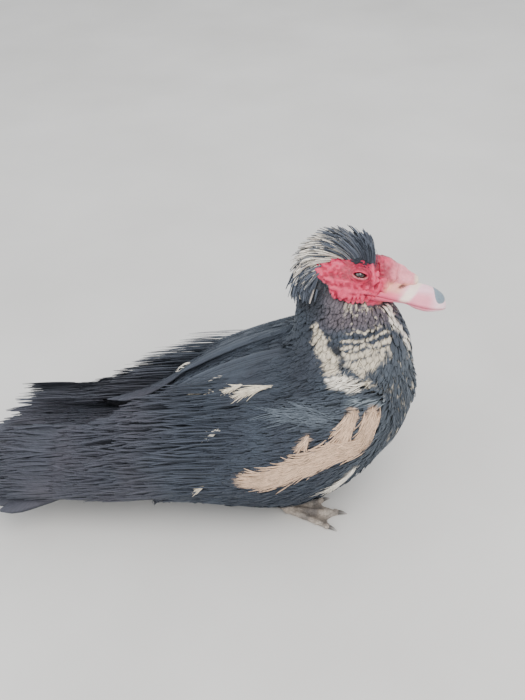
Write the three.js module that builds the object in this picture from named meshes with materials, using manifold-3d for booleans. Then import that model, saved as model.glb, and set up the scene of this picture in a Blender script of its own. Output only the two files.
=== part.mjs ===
// A life-size muscovy drake resting on the ground with its neck up and its right eye turned upwards.
// Millimetres. +X runs towards the breast, +Y to the bird's left, +Z up, and the ground is z = 0.
import * as THREE from "three";
import { mergeVertices } from "three/addons/utils/BufferGeometryUtils.js";
import Module from "manifold-3d";

const wasm = await Module();
wasm.setup();

// Driving dimensions
const GAP = 0.35; // clearance between neighbouring solids
const SEED = 20417;
const VANE_THICK = 1.2;
const TIP_THICK = 0.55;
const SIDES = [
  ["left", 1],
  ["right", -1],
];

const degrees = THREE.MathUtils.degToRad;
const vector = (x, y, z) => new THREE.Vector3(x, y, z);

// Torso sections: x, back, belly, half width. The belly ends in a small flat on the ground.
const TORSO = [
  [-238, 104, 54, 46],
  [-214, 116, 42, 62],
  [-180, 134, 28, 80],
  [-130, 172, 12, 95],
  [-65, 213, -3, 103],
  [0, 240, -4, 107],
  [45, 254, 16, 103],
  [85, 256, 48, 92],
  [118, 246, 82, 72],
  [141, 220, 114, 47],
  [154, 186, 152, 14],
];

// Outer envelope of the folded wings: x, top, bottom, half width.
const CLOAK = [
  [-350, 134, 26, 98],
  [-300, 135, 26, 100],
  [-240, 130, 22, 98],
  [-180, 147, 22, 105],
  [-120, 190, 18, 112],
  [-60, 223, 9, 117],
  [0, 247, 4, 118],
  [45, 260, 20, 114],
  [85, 261, 48, 101],
  [118, 249, 82, 81],
  [136, 232, 104, 62],
];

// Neck sections: height, x of the middle, half depth along X, half width along Y.
const NECK = [
  [150, 76, 77, 74],
  [190, 81, 75, 66],
  [230, 81, 71, 56],
  [262, 77, 66, 46],
  [290, 71, 58, 37],
  [310, 65, 49, 29],
  [326, 60, 35, 19],
];

// Head frame: x towards the bill, y left, z up, then turned and placed on the neck.
const HEAD_PLACE = vector(72, 0, 330);
const HEAD_PITCH = degrees(13);
const HEAD_ROLL = degrees(-28);
const headFrame = new THREE.Matrix4()
  .makeTranslation(HEAD_PLACE)
  .multiply(new THREE.Matrix4().makeRotationY(HEAD_PITCH))
  .multiply(new THREE.Matrix4().makeRotationX(HEAD_ROLL));

// Head sections: x, middle height, half height, half width.
const HEAD = [
  [-47, 3, 7, 7],
  [-41, 3, 18, 15],
  [-24, 1, 27, 23],
  [0, 0, 29, 25.5],
  [18, -1, 26, 22],
  [32, -1, 22, 17],
  [44, -4, 17, 14],
];

// Bill sections: x, ridge, line of the mouth, underside, half width.
const BILL = [
  [34, 10, -13.5, -21.5, 13],
  [50, 10.5, -14.5, -19.5, 14],
  [62, 10.5, -15, -18, 14.5],
  [72, 10, -15.5, -18, 15.5],
  [84, 8.6, -17, -21.5, 16.3],
  [96, 7.2, -17.5, -22.5, 16.5],
  [107, 3.6, -16.5, -20.5, 14.5],
  [114.5, -1.6, -15.5, -18, 10],
  [118.5, -8, -14.5, -16, 4.5],
];

// The hard nail at the tip of the upper bill: its middle and radii in the head frame.
const NAIL = { at: vector(113, 0, -3.5), radii: vector(8.5, 7, 8.5) };

const EYE = { x: 10, y: 19.6, z: 7, radius: 7.5 };

// Cubic interpolation of every column of a table whose first column rises.
function sample(table, t) {
  const last = table.length - 1;
  const u = Math.min(Math.max(t, table[0][0]), table[last][0]);
  let k = 0;
  while (k < last - 1 && u > table[k + 1][0]) k += 1;
  const slope = (i, c) => {
    const a = table[Math.max(i - 1, 0)];
    const b = table[i];
    const d = table[Math.min(i + 1, last)];
    if (i === 0) return (d[c] - b[c]) / (d[0] - b[0]);
    if (i === last) return (b[c] - a[c]) / (b[0] - a[0]);
    const before = b[0] - a[0];
    const after = d[0] - b[0];
    return (
      (before * before * (d[c] - b[c]) + after * after * (b[c] - a[c])) /
      (before * after * (before + after))
    );
  };
  const [p, q] = [table[k], table[k + 1]];
  const h = q[0] - p[0];
  const s = (u - p[0]) / h;
  return p
    .slice(1)
    .map(
      (_, i) =>
        (2 * s ** 3 - 3 * s ** 2 + 1) * p[i + 1] +
        (s ** 3 - 2 * s ** 2 + s) * h * slope(k, i + 1) +
        (3 * s ** 2 - 2 * s ** 3) * q[i + 1] +
        (s ** 3 - s ** 2) * h * slope(k + 1, i + 1),
    );
}

function randomFrom(seed) {
  let state = seed;
  return () => {
    state = (state + 0x6d2b79f5) | 0;
    let t = Math.imul(state ^ (state >>> 15), 1 | state);
    t = (t + Math.imul(t ^ (t >>> 7), 61 | t)) ^ t;
    return ((t ^ (t >>> 14)) >>> 0) / 4294967296;
  };
}
const random = randomFrom(SEED);
const vary = (share) => 1 + share * (2 * random() - 1);
const mix = (a, b, s) => a + (b - a) * s;

// Solids

function solidOf(points, triangles) {
  const flat = new Float32Array(points.flatMap((p) => [p.x, p.y, p.z]));
  const make = (list) =>
    new wasm.Manifold(
      new wasm.Mesh({
        numProp: 3,
        vertProperties: flat,
        triVerts: new Uint32Array(list.flat()),
      }),
    );
  const made = make(triangles);
  return made.volume() > 0 ? made : make(triangles.map(([a, b, c]) => [a, c, b]));
}

function solidFromGeometry(geometry, matrix = new THREE.Matrix4()) {
  const bare = geometry.clone().applyMatrix4(matrix);
  bare.deleteAttribute("normal");
  bare.deleteAttribute("uv");
  const merged = mergeVertices(bare, 1e-3);
  const place = merged.attributes.position;
  const points = [...Array(place.count).keys()].map((i) =>
    new THREE.Vector3().fromBufferAttribute(place, i),
  );
  const index = [...merged.index.array];
  const triangles = [];
  for (let i = 0; i < index.length; i += 3)
    triangles.push([index[i], index[i + 1], index[i + 2]]);
  return solidOf(points, triangles);
}

// A closed skin over rings of points, with a fan at each end.
function loft(rings) {
  const count = rings[0].length;
  const points = rings.flat();
  const triangles = [];
  for (let r = 0; r + 1 < rings.length; r += 1)
    for (let i = 0; i < count; i += 1) {
      const j = (i + 1) % count;
      const [a, b] = [r * count + i, r * count + j];
      const [c, d] = [a + count, b + count];
      triangles.push([a, b, d], [a, d, c]);
    }
  const middle = (ring) =>
    ring.reduce((sum, p) => sum.add(p), vector(0, 0, 0)).divideScalar(count);
  const first = points.push(middle(rings[0])) - 1;
  const last = points.push(middle(rings.at(-1))) - 1;
  const end = (rings.length - 1) * count;
  for (let i = 0; i < count; i += 1) {
    const j = (i + 1) % count;
    triangles.push([first, j, i], [last, end + i, end + j]);
  }
  return solidOf(points, triangles);
}

// Outlines of thin blades: shares of the length, and of the full width there.
const FEATHER = [
  [0, 0.5],
  [0.45, 1],
  [0.85, 0.78],
  [1, 0.24],
];
const COVERT = [
  [0, 0.6],
  [0.5, 1],
  [0.84, 0.82],
  [1, 0.3],
];
const LOCK = [
  [0, 0.9],
  [0.4, 1],
  [0.75, 0.72],
  [1, 0.16],
];

// A thin blade along a path, its two faces split alike. at(s) gives a point of the path and the normal of
// the blade's face, for s from 0 at the root to 1 at the tip.
function blade(at, outline, width, thick) {
  const step = 0.01;
  const corners = [
    [-1, 1],
    [1, 1],
    [1, -1],
    [-1, -1],
  ];
  const points = [];
  for (const [s, share] of outline) {
    const { point, normal } = at(s);
    const along = at(Math.min(s + step, 1)).point.sub(at(Math.max(s - step, 0)).point).normalize();
    const side = along.clone().cross(normal).normalize();
    const face = side.clone().cross(along).normalize();
    const half = (width * share) / 2;
    const up = mix(thick, TIP_THICK, s) / 2;
    for (const [a, b] of corners)
      points.push(point.clone().addScaledVector(side, a * half).addScaledVector(face, b * up));
  }
  const triangles = [];
  for (let r = 0; r + 1 < outline.length; r += 1) {
    const a = r * 4;
    const b = a + 4;
    triangles.push([a, a + 1, b + 1], [a, b + 1, b]);
    triangles.push([a + 3, b + 2, a + 2], [a + 3, b + 3, b + 2]);
    triangles.push([a + 1, a + 2, b + 2], [a + 1, b + 2, b + 1]);
    triangles.push([a + 3, a, b], [a + 3, b, b + 3]);
  }
  const e = (outline.length - 1) * 4;
  triangles.push([0, 3, 2], [0, 2, 1], [e, e + 1, e + 2], [e, e + 2, e + 3]);
  return solidOf(points, triangles);
}

const largest = (made) =>
  made.decompose().reduce((a, b) => (b.volume() > a.volume() ? b : a));
const union = (list) => wasm.Manifold.union(list);

function ellipsoid(centre, radii, detail, matrix) {
  const place = new THREE.Matrix4()
    .makeTranslation(centre)
    .multiply(new THREE.Matrix4().makeScale(radii.x, radii.y, radii.z));
  const whole = matrix ? matrix.clone().multiply(place) : place;
  return solidFromGeometry(new THREE.OctahedronGeometry(1, detail), whole);
}

// Body surfaces

// A point on a sectioned body: elevation 0 is its side and 90 its top.
function shellPoint(table, x, elevation, side, lift = 0) {
  const [top, bottom, half] = sample(table, x);
  const e = degrees(elevation);
  const tall = (top - bottom) / 2;
  const normal = vector(0, side * Math.cos(e) * tall, Math.sin(e) * half).normalize();
  return vector(
    x,
    side * half * Math.cos(e),
    (top + bottom) / 2 + tall * Math.sin(e),
  ).addScaledVector(normal, lift);
}

// The way up across the body's side for one degree of elevation, and the outward normal.
function shellAxes(table, x, elevation, side) {
  const here = shellPoint(table, x, elevation, side);
  const ahead = shellPoint(table, x + 1, elevation, side).sub(here);
  const up = shellPoint(table, x, elevation + 1, side).sub(here);
  return { up, normal: ahead.cross(up).multiplyScalar(-side).normalize() };
}

function torsoSolid(grow) {
  const lengthSteps = 15;
  const aroundSteps = 20;
  const first = TORSO[0][0] - grow;
  const last = TORSO.at(-1)[0] + grow;
  const rings = [];
  for (let i = 0; i <= lengthSteps; i += 1) {
    const s = i / lengthSteps;
    const x = first + (last - first) * (1 - Math.cos(Math.PI * s)) * 0.5;
    const [top, bottom, half] = sample(TORSO, x);
    rings.push(
      [...Array(aroundSteps).keys()].map((k) => {
        const a = (2 * Math.PI * k) / aroundSteps;
        const tall = (top - bottom) / 2 + grow;
        return vector(
          x,
          (half + grow) * Math.cos(a),
          (top + bottom) / 2 + tall * Math.sin(a),
        );
      }),
    );
  }
  return loft(rings).trimByPlane([0, 0, 1], 0);
}

function neckSolid(grow) {
  const rings = [];
  const steps = 8;
  const around = 18;
  for (let i = 0; i <= steps; i += 1) {
    const z = NECK[0][0] + ((NECK.at(-1)[0] - NECK[0][0]) * i) / steps;
    const [x, deep, wide] = sample(NECK, z);
    rings.push(
      [...Array(around).keys()].map((k) => {
        const a = (2 * Math.PI * k) / around;
        return vector(
          x + (deep + grow) * Math.cos(a),
          (wide + grow) * Math.sin(a),
          z,
        );
      }),
    );
  }
  return loft(rings);
}

// Head

const headPoint = (x, elevation, side, lift = 0) => {
  const [mid, tall, half] = sample(HEAD, x);
  const e = degrees(elevation);
  return vector(
    x,
    side * (half + lift) * Math.cos(e),
    mid + (tall + lift) * Math.sin(e),
  );
};

function headCore(grow) {
  const steps = 11;
  const around = 18;
  const rings = [];
  for (let i = 0; i <= steps; i += 1) {
    const s = i / steps;
    const x = HEAD[0][0] + (HEAD.at(-1)[0] - HEAD[0][0]) * (1 - Math.cos(Math.PI * s)) * 0.5;
    rings.push(
      [...Array(around).keys()].map((k) =>
        headPoint(x, (360 * k) / around, 1, grow).applyMatrix4(headFrame),
      ),
    );
  }
  return loft(rings);
}

// Bill

function billSolid(upper, grow = 0) {
  const steps = 9;
  const around = 14;
  const rings = [];
  for (let i = 0; i <= steps; i += 1) {
    const s = i / steps;
    const x = BILL[0][0] + (BILL.at(-1)[0] - BILL[0][0]) * s;
    const [ridge, mouth, under, half] = sample(BILL, x);
    const flat = upper ? mouth : mouth - GAP;
    const tall = upper ? ridge - flat : under - flat;
    rings.push(
      [...Array(around).keys()].map((k) => {
        const a = (2 * Math.PI * k) / around;
        const up = Math.max(Math.sin(a), 0);
        return vector(
          x,
          (half * (upper ? 1 : 0.9) + grow) * Math.cos(a),
          flat + (tall + Math.sign(tall) * grow) * Math.pow(up, 0.8),
        ).applyMatrix4(headFrame);
      }),
    );
  }
  return loft(rings);
}

// Wings

// Lower and upper edge of the wing's body, as elevations on the cloak: x, lower edge, upper edge.
const WING_EDGE = [
  [-165, -22, 66],
  [-120, -28, 76],
  [-60, -34, 80],
  [0, -37, 79],
  [40, -38, 72],
  [90, -34, 52],
  [118, -20, 30],
  [132, -6, 12],
];
// How deep the wing's body is made under the cloak before the torso is cut from it: over the breast, at
// the rear, and along the back.
const DEEP = { front: 14, rear: 20, back: 12, from: -40, to: -110 };
function deepAt(x, share) {
  const rearward = THREE.MathUtils.clamp((DEEP.from - x) / (DEEP.from - DEEP.to), 0, 1);
  return mix(mix(DEEP.front, DEEP.rear, rearward), DEEP.back, share ** 2);
}

// The wing's body also lies deeper towards its rear, under its feathers.
const SINK = { from: 80, share: 0.024 };
const sinkAt = (x) => Math.max(SINK.from - x, 0) * SINK.share;

// Tiers of the folded wing, front to rear. root and tip give x and the elevations of the lowest and the
// highest feather, and lift gives the height over the cloak at the root and at the tip.
const TIERS = {
  lesser: {
    count: 5,
    root: { x: [66, 70], e: [-30, 44] },
    tip: { x: [2, 6], e: [-33, 57] },
    width: 44,
    lift: [-4, 1.2],
    outline: COVERT,
  },
  median: {
    count: 6,
    root: { x: [8, 14], e: [-31, 52] },
    tip: { x: [-66, -62], e: [-32, 55] },
    width: 40,
    lift: [-5.5, 0.8],
    outline: COVERT,
  },
  greater: {
    count: 8,
    root: { x: [-54, -50], e: [-29, 56] },
    tip: { x: [-140, -138], e: [-25, 54] },
    width: 31,
    lift: [-7.5, 0.4],
    outline: COVERT,
  },
  primaries: {
    count: 7,
    root: { x: [-118, -118], e: [-20, 12] },
    tip: { x: [-344, -286], e: [-5, 42] },
    width: 17,
    lift: [-12, -5],
    outline: FEATHER,
  },
  secondaries: {
    count: 6,
    root: { x: [-104, -104], e: [10, 46] },
    tip: { x: [-262, -236], e: [16, 54] },
    width: 22,
    lift: [-9.5, -0.5],
    outline: FEATHER,
  },
  tertials: {
    count: 3,
    root: { x: [-84, -76], e: [54, 68] },
    tip: { x: [-208, -232], e: [52, 76] },
    width: 34,
    lift: [-7, 2],
    outline: FEATHER,
  },
  scapulars: {
    count: 4,
    root: { x: [42, 50], e: [61, 75] },
    tip: { x: [-104, -128], e: [61, 80] },
    width: 32,
    lift: [-4.5, 3.5],
    outline: FEATHER,
  },
};

function wingShell(side) {
  const steps = 9;
  const across = 6;
  const [rear, front] = [WING_EDGE[0][0], WING_EDGE.at(-1)[0]];
  const rings = [];
  for (let i = 0; i <= steps; i += 1) {
    const x = mix(front, rear, (1 - i / steps) ** 1.5);
    const [low, high] = sample(WING_EDGE, x);
    const shares = [...Array(across).keys()].map((k) => k / (across - 1));
    const at = (share, lift) => shellPoint(CLOAK, x, mix(low, high, share), side, lift);
    const outer = shares.map((share) => at(share, -sinkAt(x)));
    const inner = shares.map((share) => at(share, -deepAt(x, share))).reverse();
    rings.push([...outer, ...inner]);
  }
  return loft(rings);
}

const TIP_JITTER = 3;
const LEAN = 1.3; // how far a vane tilts, as a multiple of what just clears the next one
const STEEPEST = 0.5;

// One feather of a tier. It tilts so that its lower edge clears the next lower feather.
function wingFeather(tier, k, side) {
  const { count, root, tip, lift, outline } = tier;
  const f = k / (count - 1);
  const reach = mix(...tip.x, f) + TIP_JITTER * (2 * random() - 1);
  const at = (s) => {
    const x = mix(mix(...root.x, f), reach, s);
    const e = mix(mix(...root.e, f), mix(...tip.e, f), s);
    const rise = mix(...lift, 1 - (1 - s) ** 2);
    const { up, normal } = shellAxes(CLOAK, x, e, side);
    const spacing = (up.length() * mix(root.e[1] - root.e[0], tip.e[1] - tip.e[0], s)) / (count - 1);
    const tilt = Math.min((LEAN * (VANE_THICK + GAP)) / spacing, STEEPEST);
    return {
      point: shellPoint(CLOAK, x, e, side, rise),
      normal: normal.addScaledVector(up.normalize(), tilt).normalize(),
    };
  };
  return blade(at, outline, tier.width * vary(0.05), VANE_THICK);
}
const wingSolid = (side) =>
  union([
    wingShell(side),
    ...Object.values(TIERS).flatMap((tier) =>
      [...Array(tier.count).keys()].map((k) => wingFeather(tier, k, side)),
    ),
  ]);

// Tail

// The tail fans out from a point inside the rump. Its line: distance from that point, height.
const FAN = { x: -150, layer: 1.6 };
const TAIL_LINE = [
  [40, 88],
  [75, 84],
  [120, 77],
  [160, 71],
  [220, 66],
  [275, 62],
];
const RUMP = { at: vector(-228, 0, 72), radii: vector(58, 50, 17) };

// Rows of the tail: count, spread in degrees, distances of the root and the tip, width, lift at both ends,
// and how much shorter the outermost feathers are.
const TAIL_ROWS = [
  { count: 14, spread: 25, from: 62, to: 275, width: 34, lift: [0, 0], shorter: 36, outline: FEATHER },
  { count: 7, spread: 19, from: 60, to: 166, width: 28, lift: [2, 4.5], shorter: 16, outline: COVERT },
  { count: 5, spread: 16, from: 50, to: 126, width: 28, lift: [6, 10], shorter: 12, outline: COVERT },
  { count: 5, spread: 16, from: 60, to: 172, width: 32, lift: [-9, -14], shorter: 18, outline: COVERT },
];

function tailFeather(row, k, grow) {
  const place = (2 * k) / (row.count - 1) - 1;
  const turn = degrees(row.spread * place);
  const layer = (FAN.layer * Math.abs(place) * (row.count - 1)) / 2;
  const to = row.to - row.shorter * Math.abs(place) ** 1.7;
  const at = (s) => {
    const r = mix(row.from, to + grow, s);
    const [z] = sample(TAIL_LINE, r);
    const [ahead] = sample(TAIL_LINE, r + 1);
    return {
      point: vector(
        FAN.x - r * Math.cos(turn),
        r * Math.sin(turn),
        z - layer + mix(...row.lift, s),
      ),
      normal: vector((ahead - z) * Math.cos(turn), -(ahead - z) * Math.sin(turn), 1).normalize(),
    };
  };
  return blade(at, row.outline, row.width + 2 * grow, VANE_THICK + 2 * grow);
}

const tailSolid = (grow) =>
  union([
    ellipsoid(RUMP.at, RUMP.radii.clone().addScalar(grow), 2),
    ...TAIL_ROWS.flatMap((row) =>
      [...Array(row.count).keys()].map((k) => tailFeather(row, k, grow)),
    ),
  ]);

// Legs and feet

const FOOT = { x: 2, y: 60, ankle: 11 };
const HOCK = { x: -40, y: 66, z: 44 };
const TOES = [
  { name: "inner", length: 47, turn: -24, thick: 3.6 },
  { name: "middle", length: 64, turn: 3, thick: 4 },
  { name: "outer", length: 58, turn: 29, thick: 3.6 },
];
const CLAW_LONG = 10;
const WEB_THICK = 2.2;

// A round, tapering limb through a list of points with a radius each.
function limb(stations, around = 7) {
  const curve = new THREE.CatmullRomCurve3(stations.map(([p]) => p));
  const steps = stations.length;
  const rings = [];
  for (let i = 0; i <= steps; i += 1) {
    const s = i / steps;
    const k = Math.min(Math.floor(s * (stations.length - 1)), stations.length - 2);
    const t = s * (stations.length - 1) - k;
    const radius = stations[k][1] * (1 - t) + stations[k + 1][1] * t;
    const centre = curve.getPoint(s);
    const along = curve.getTangent(s);
    const side = along.clone().cross(vector(0, 0, 1)).normalize();
    const up = side.clone().cross(along).normalize();
    rings.push(
      [...Array(around).keys()].map((j) => {
        const a = (2 * Math.PI * j) / around;
        return centre
          .clone()
          .addScaledVector(side, radius * Math.cos(a))
          .addScaledVector(up, radius * Math.sin(a));
      }),
    );
  }
  return loft(rings);
}

function toePath(toe, side, along) {
  const turn = degrees(toe.turn) * side;
  return vector(
    FOOT.x + along * Math.cos(turn),
    side * FOOT.y + along * Math.sin(turn),
    toe.thick - 0.6,
  );
}

function toeSolid(toe, side, grow) {
  const root = vector(FOOT.x - 4, side * FOOT.y, FOOT.ankle - 4.5);
  return limb([
    [root, toe.thick + 1.6 + grow],
    [toePath(toe, side, toe.length * 0.34), toe.thick + 0.5 + grow],
    [toePath(toe, side, toe.length * 0.68), toe.thick + grow],
    [toePath(toe, side, toe.length), toe.thick - 1 + grow],
  ]);
}

function clawSolid(toe, side) {
  const from = toePath(toe, side, toe.length + GAP);
  const to = toePath(toe, side, toe.length + CLAW_LONG);
  from.z = toe.thick - 0.9;
  to.z = 0.7;
  const middle = from.clone().lerp(to, 0.5).add(vector(0, 0, 1.2));
  return limb(
    [
      [from, toe.thick - 1.2],
      [middle, toe.thick - 1.9],
      [to, 0.6],
    ],
    6,
  ).trimByPlane([0, 0, 1], 0);
}

function webSolid(side) {
  const heel = 6;
  const reach = 0.95;
  const scallop = 0.84;
  const outline = new THREE.Shape();
  const at = (turn, along) => [
    FOOT.x + along * Math.cos(degrees(turn) * side),
    side * FOOT.y + along * Math.sin(degrees(turn) * side),
  ];
  outline.moveTo(...at(180, heel));
  outline.lineTo(...at(TOES[0].turn, TOES[0].length * reach));
  for (const [k, next] of [
    [0, 1],
    [1, 2],
  ]) {
    const [a, b] = [TOES[k], TOES[next]];
    outline.quadraticCurveTo(
      ...at((a.turn + b.turn) / 2, ((a.length + b.length) / 2) * scallop),
      ...at(b.turn, b.length * reach),
    );
  }
  outline.closePath();
  return solidFromGeometry(
    new THREE.ExtrudeGeometry(outline, {
      depth: WEB_THICK,
      bevelEnabled: false,
      curveSegments: 4,
    }),
  );
}

const HIND = { length: 17, clawLong: 7, thick: 3 };
const hindAt = (side, along) =>
  vector(
    FOOT.x - 6 - along * 0.86,
    side * (FOOT.y - 3 - along * 0.42),
    9.5 - along * 0.14,
  );

function footSolid(side, grow = 0) {
  const hind = limb(
    [
      [hindAt(side, -5), HIND.thick + 0.8 + grow],
      [hindAt(side, HIND.length * 0.5), HIND.thick + grow],
      [hindAt(side, HIND.length), HIND.thick - 0.8 + grow],
    ],
    6,
  );
  const toes = TOES.map((toe) => toeSolid(toe, side, grow));
  return union([webSolid(side), ...toes, hind]).trimByPlane([0, 0, 1], 0);
}

function hindClaw(side) {
  const from = hindAt(side, HIND.length + GAP);
  const to = hindAt(side, HIND.length + HIND.clawLong);
  to.z -= 2;
  const middle = from.clone().lerp(to, 0.5).add(vector(0, 0, 0.6));
  return limb(
    [
      [from, HIND.thick - 1],
      [middle, HIND.thick - 1.6],
      [to, 0.5],
    ],
    6,
  );
}

function shankSolid(side) {
  const ankle = vector(FOOT.x - 4, side * FOOT.y, FOOT.ankle);
  const hock = vector(HOCK.x, side * HOCK.y, HOCK.z);
  return limb([
    [ankle.clone().lerp(hock, -0.02), 6.2],
    [ankle.clone().lerp(hock, 0.5), 6],
    [hock, 7.5],
  ]);
}

// The knob over the base of the bill, as lobes: centre and radii in the head frame, and the octahedron's
// detail.
const KNOB_LOBES = [
  [vector(37, 0, 17.3), vector(21, 14, 15), 2],
  [vector(54, -1, 13.6), vector(17, 12.5, 12.2), 2],
  [vector(70.5, 0, 9.6), vector(12, 11, 9.4), 2],
  [vector(46, 8, 9), vector(13, 9, 10), 1],
  [vector(64, -6.5, 9.5), vector(10, 7, 6.5), 1],
];
const headBall = (centre, radii, grow = 0, detail = 2) =>
  ellipsoid(centre, radii.clone().addScalar(grow), detail, headFrame);
const knob = (grow) =>
  KNOB_LOBES.map(([centre, radii, detail]) => headBall(centre, radii, grow, detail));

// The mound of skin and down that the crest grows from, less than half as high as its feathers.
const CREST_MOUND = [
  [vector(-4, 0, 26), vector(34, 13, 12)],
  [vector(-40, 0, 8), vector(14, 13, 21)],
];
const mound = (grow) => CREST_MOUND.map(([centre, radii]) => headBall(centre, radii, grow, 1));

// Crest: rows from the forehead to the nape, with the place along the head's arc, the lean away from the
// skin at the root and the tip in degrees, and the length.
const CREST = { rows: 7, across: 5, spread: 42, width: 14.5, thick: 2.4, sunk: 4 };
const CREST_LINE = [
  [0, 37, 62, 0, 28],
  [0.25, 70, 47, 0, 36],
  [0.5, 103, 33, -8, 41],
  [0.75, 138, 24, -18, 42],
  [1, 170, 18, -28, 41],
];

// A point on the crown's arc and its outward direction. Along is degrees round the arc from the bill to
// the nape.
const CROWN = { at: vector(-6, 0, 2), long: 41, tall: 29, half: 24 };
function crownPoint(along, across) {
  const [a, b] = [degrees(along), degrees(across)];
  const out = vector(Math.cos(a) * Math.cos(b), Math.sin(b), Math.sin(a) * Math.cos(b));
  const radii = vector(CROWN.long, CROWN.half, CROWN.tall);
  return {
    point: out.clone().multiply(radii).add(CROWN.at),
    out: out.clone().divide(radii).normalize(),
    back: vector(-Math.sin(a), 0, Math.cos(a)),
  };
}

function crestLock(row, column) {
  const stagger = (column % 2) * 0.5;
  const u = Math.min((row + stagger) / (CREST.rows - 0.5), 1);
  const v = (2 * column) / (CREST.across - 1) - 1;
  const [along, rootLean, tipLean, long] = sample(CREST_LINE, u);
  const { point, out, back } = crownPoint(along, CREST.spread * v);
  const length = long * vary(0.1) * (1 - 0.14 * Math.abs(v));
  const steps = 12;
  const turn = mix(0.75, 0.3, u);
  const sideways = vector(0, v < 0 || (v === 0 && row % 2) ? -1 : 1, 0);
  const faced = out
    .clone()
    .multiplyScalar(1 - turn)
    .addScaledVector(sideways, turn)
    .addScaledVector(back, -0.4 * turn);
  const flare = 0.22 * v + 0.1 * (2 * random() - 1);
  const heading = (s) => {
    const lean = degrees(mix(rootLean, tipLean, s));
    return back
      .clone()
      .multiplyScalar(Math.cos(lean))
      .addScaledVector(out, Math.sin(lean))
      .add(vector(0, flare, 0))
      .normalize();
  };
  const path = [point.clone().addScaledVector(out, -CREST.sunk)];
  for (let i = 0; i < steps; i += 1)
    path.push(
      path.at(-1).clone().addScaledVector(heading(i / steps), (length + CREST.sunk) / steps),
    );
  const curve = new THREE.CatmullRomCurve3(path);
  const at = (s) => {
    const here = curve.getPoint(s);
    const along = curve.getTangent(s);
    const normal = faced.clone().addScaledVector(along, -faced.dot(along)).normalize();
    return {
      point: here.applyMatrix4(headFrame),
      normal: normal.transformDirection(headFrame),
    };
  };
  return blade(at, LOCK, CREST.width * vary(0.12), CREST.thick);
}

const crest = () =>
  [...Array(CREST.rows).keys()].flatMap((row) =>
    [...Array(CREST.across).keys()].map((column) => crestLock(row, column)),
  );

// Caruncles of the bare face, as bulbs and folds: a close row of upright bulbs along the lower edge, folds
// between the knob and the eye, and long folds under and behind the eye. Each row has a count, its ends as
// x and elevation on the head, and radii.
const CARUNCLES = [
  { count: 8, from: [30, -38], to: [-30, -40], radii: vector(4.2, 3.2, 7) },
  { count: 2, from: [27, 6], to: [22, 40], radii: vector(4, 3.4, 8) },
  { count: 2, from: [14, -22], to: [-10, -20], radii: vector(12, 3, 4) },
  { count: 2, from: [-14, 22], to: [-28, -10], radii: vector(8, 3.4, 4.4) },
];

function caruncles(side) {
  return CARUNCLES.flatMap(({ count, from, to, radii }) =>
    [...Array(count).keys()].map((k) => {
      const s = k / (count - 1);
      const centre = headPoint(mix(from[0], to[0], s), mix(from[1], to[1], s), side, -0.8);
      const size = radii.clone().multiplyScalar(vary(0.12));
      const place = headFrame
        .clone()
        .multiply(new THREE.Matrix4().makeTranslation(centre))
        .multiply(new THREE.Matrix4().makeScale(size.x, size.y, size.z));
      return solidFromGeometry(new THREE.IcosahedronGeometry(1, 0), place);
    }),
  );
}

// Lids: a pad of skin over each eye, opened by an almond-shaped cut.
const LID = { pad: vector(12, 9, 10), opening: vector(7.6, 6, 3.7), out: 8 };
const lidPad = (side, grow) => headBall(vector(EYE.x, side * EYE.y, EYE.z), LID.pad, grow);
const lidOpening = (side) =>
  headBall(vector(EYE.x, side * (EYE.y + LID.out), EYE.z), LID.opening);

// The corner of the mouth runs back into the face as a fine groove.
const MOUTH = { from: 20, to: 48, z: -14.4, high: 0.8, deep: 3 };
function mouthGroove(side) {
  const long = MOUTH.to - MOUTH.from;
  const half = sample(HEAD, MOUTH.from)[2];
  return solidFromGeometry(
    new THREE.BoxGeometry(long, 2 * MOUTH.deep, MOUTH.high),
    headFrame
      .clone()
      .multiply(
        new THREE.Matrix4().makeTranslation((MOUTH.from + MOUTH.to) / 2, side * half * 0.8, MOUTH.z),
      ),
  );
}

// Oval nostrils in the sides of the upper bill, in front of the knob.
const NOSTRIL = { at: [63.5, 12, 1.6], radii: vector(4.6, 3, 1.9) };
const nostrils = SIDES.map(([, side]) =>
  headBall(vector(NOSTRIL.at[0], side * NOSTRIL.at[1], NOSTRIL.at[2]), NOSTRIL.radii, 0, 1),
);

const eyeSolid = (side, grow) =>
  solidFromGeometry(
    new THREE.SphereGeometry(EYE.radius + grow, 10, 6),
    headFrame
      .clone()
      .multiply(new THREE.Matrix4().makeTranslation(EYE.x, side * EYE.y, EYE.z)),
  );

const colours = {
  feather: 0x2c3540,
  face: 0xd8485a,
  bill: 0xe6a3ab,
  eye: 0x2a221e,
  foot: 0x9c9080,
};
const material = (colour, roughness) =>
  new THREE.MeshStandardMaterial({ color: colour, roughness, metalness: 0 });
const materials = {
  feather: material(colours.feather, 0.75),
  face: material(colours.face, 0.6),
  bill: material(colours.bill, 0.4),
  eye: material(colours.eye, 0.1),
  foot: material(colours.foot, 0.7),
};

const bird = new THREE.Group();

function add(name, made, look) {
  const kept = largest(made);
  const data = kept.getMesh();
  const points = new Float32Array(data.numVert * 3);
  for (let i = 0; i < data.numVert; i += 1)
    points.set(
      data.vertProperties.subarray(i * data.numProp, i * data.numProp + 3),
      i * 3,
    );
  const geometry = new THREE.BufferGeometry();
  geometry.setAttribute("position", new THREE.BufferAttribute(points, 3));
  geometry.setIndex(new THREE.BufferAttribute(data.triVerts, 1));
  geometry.computeVertexNormals();
  const mesh = new THREE.Mesh(geometry, materials[look]);
  mesh.name = name;
  bird.add(mesh);
}

const torsoGrown = torsoSolid(GAP);
const neckGrown = neckSolid(GAP);
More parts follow.
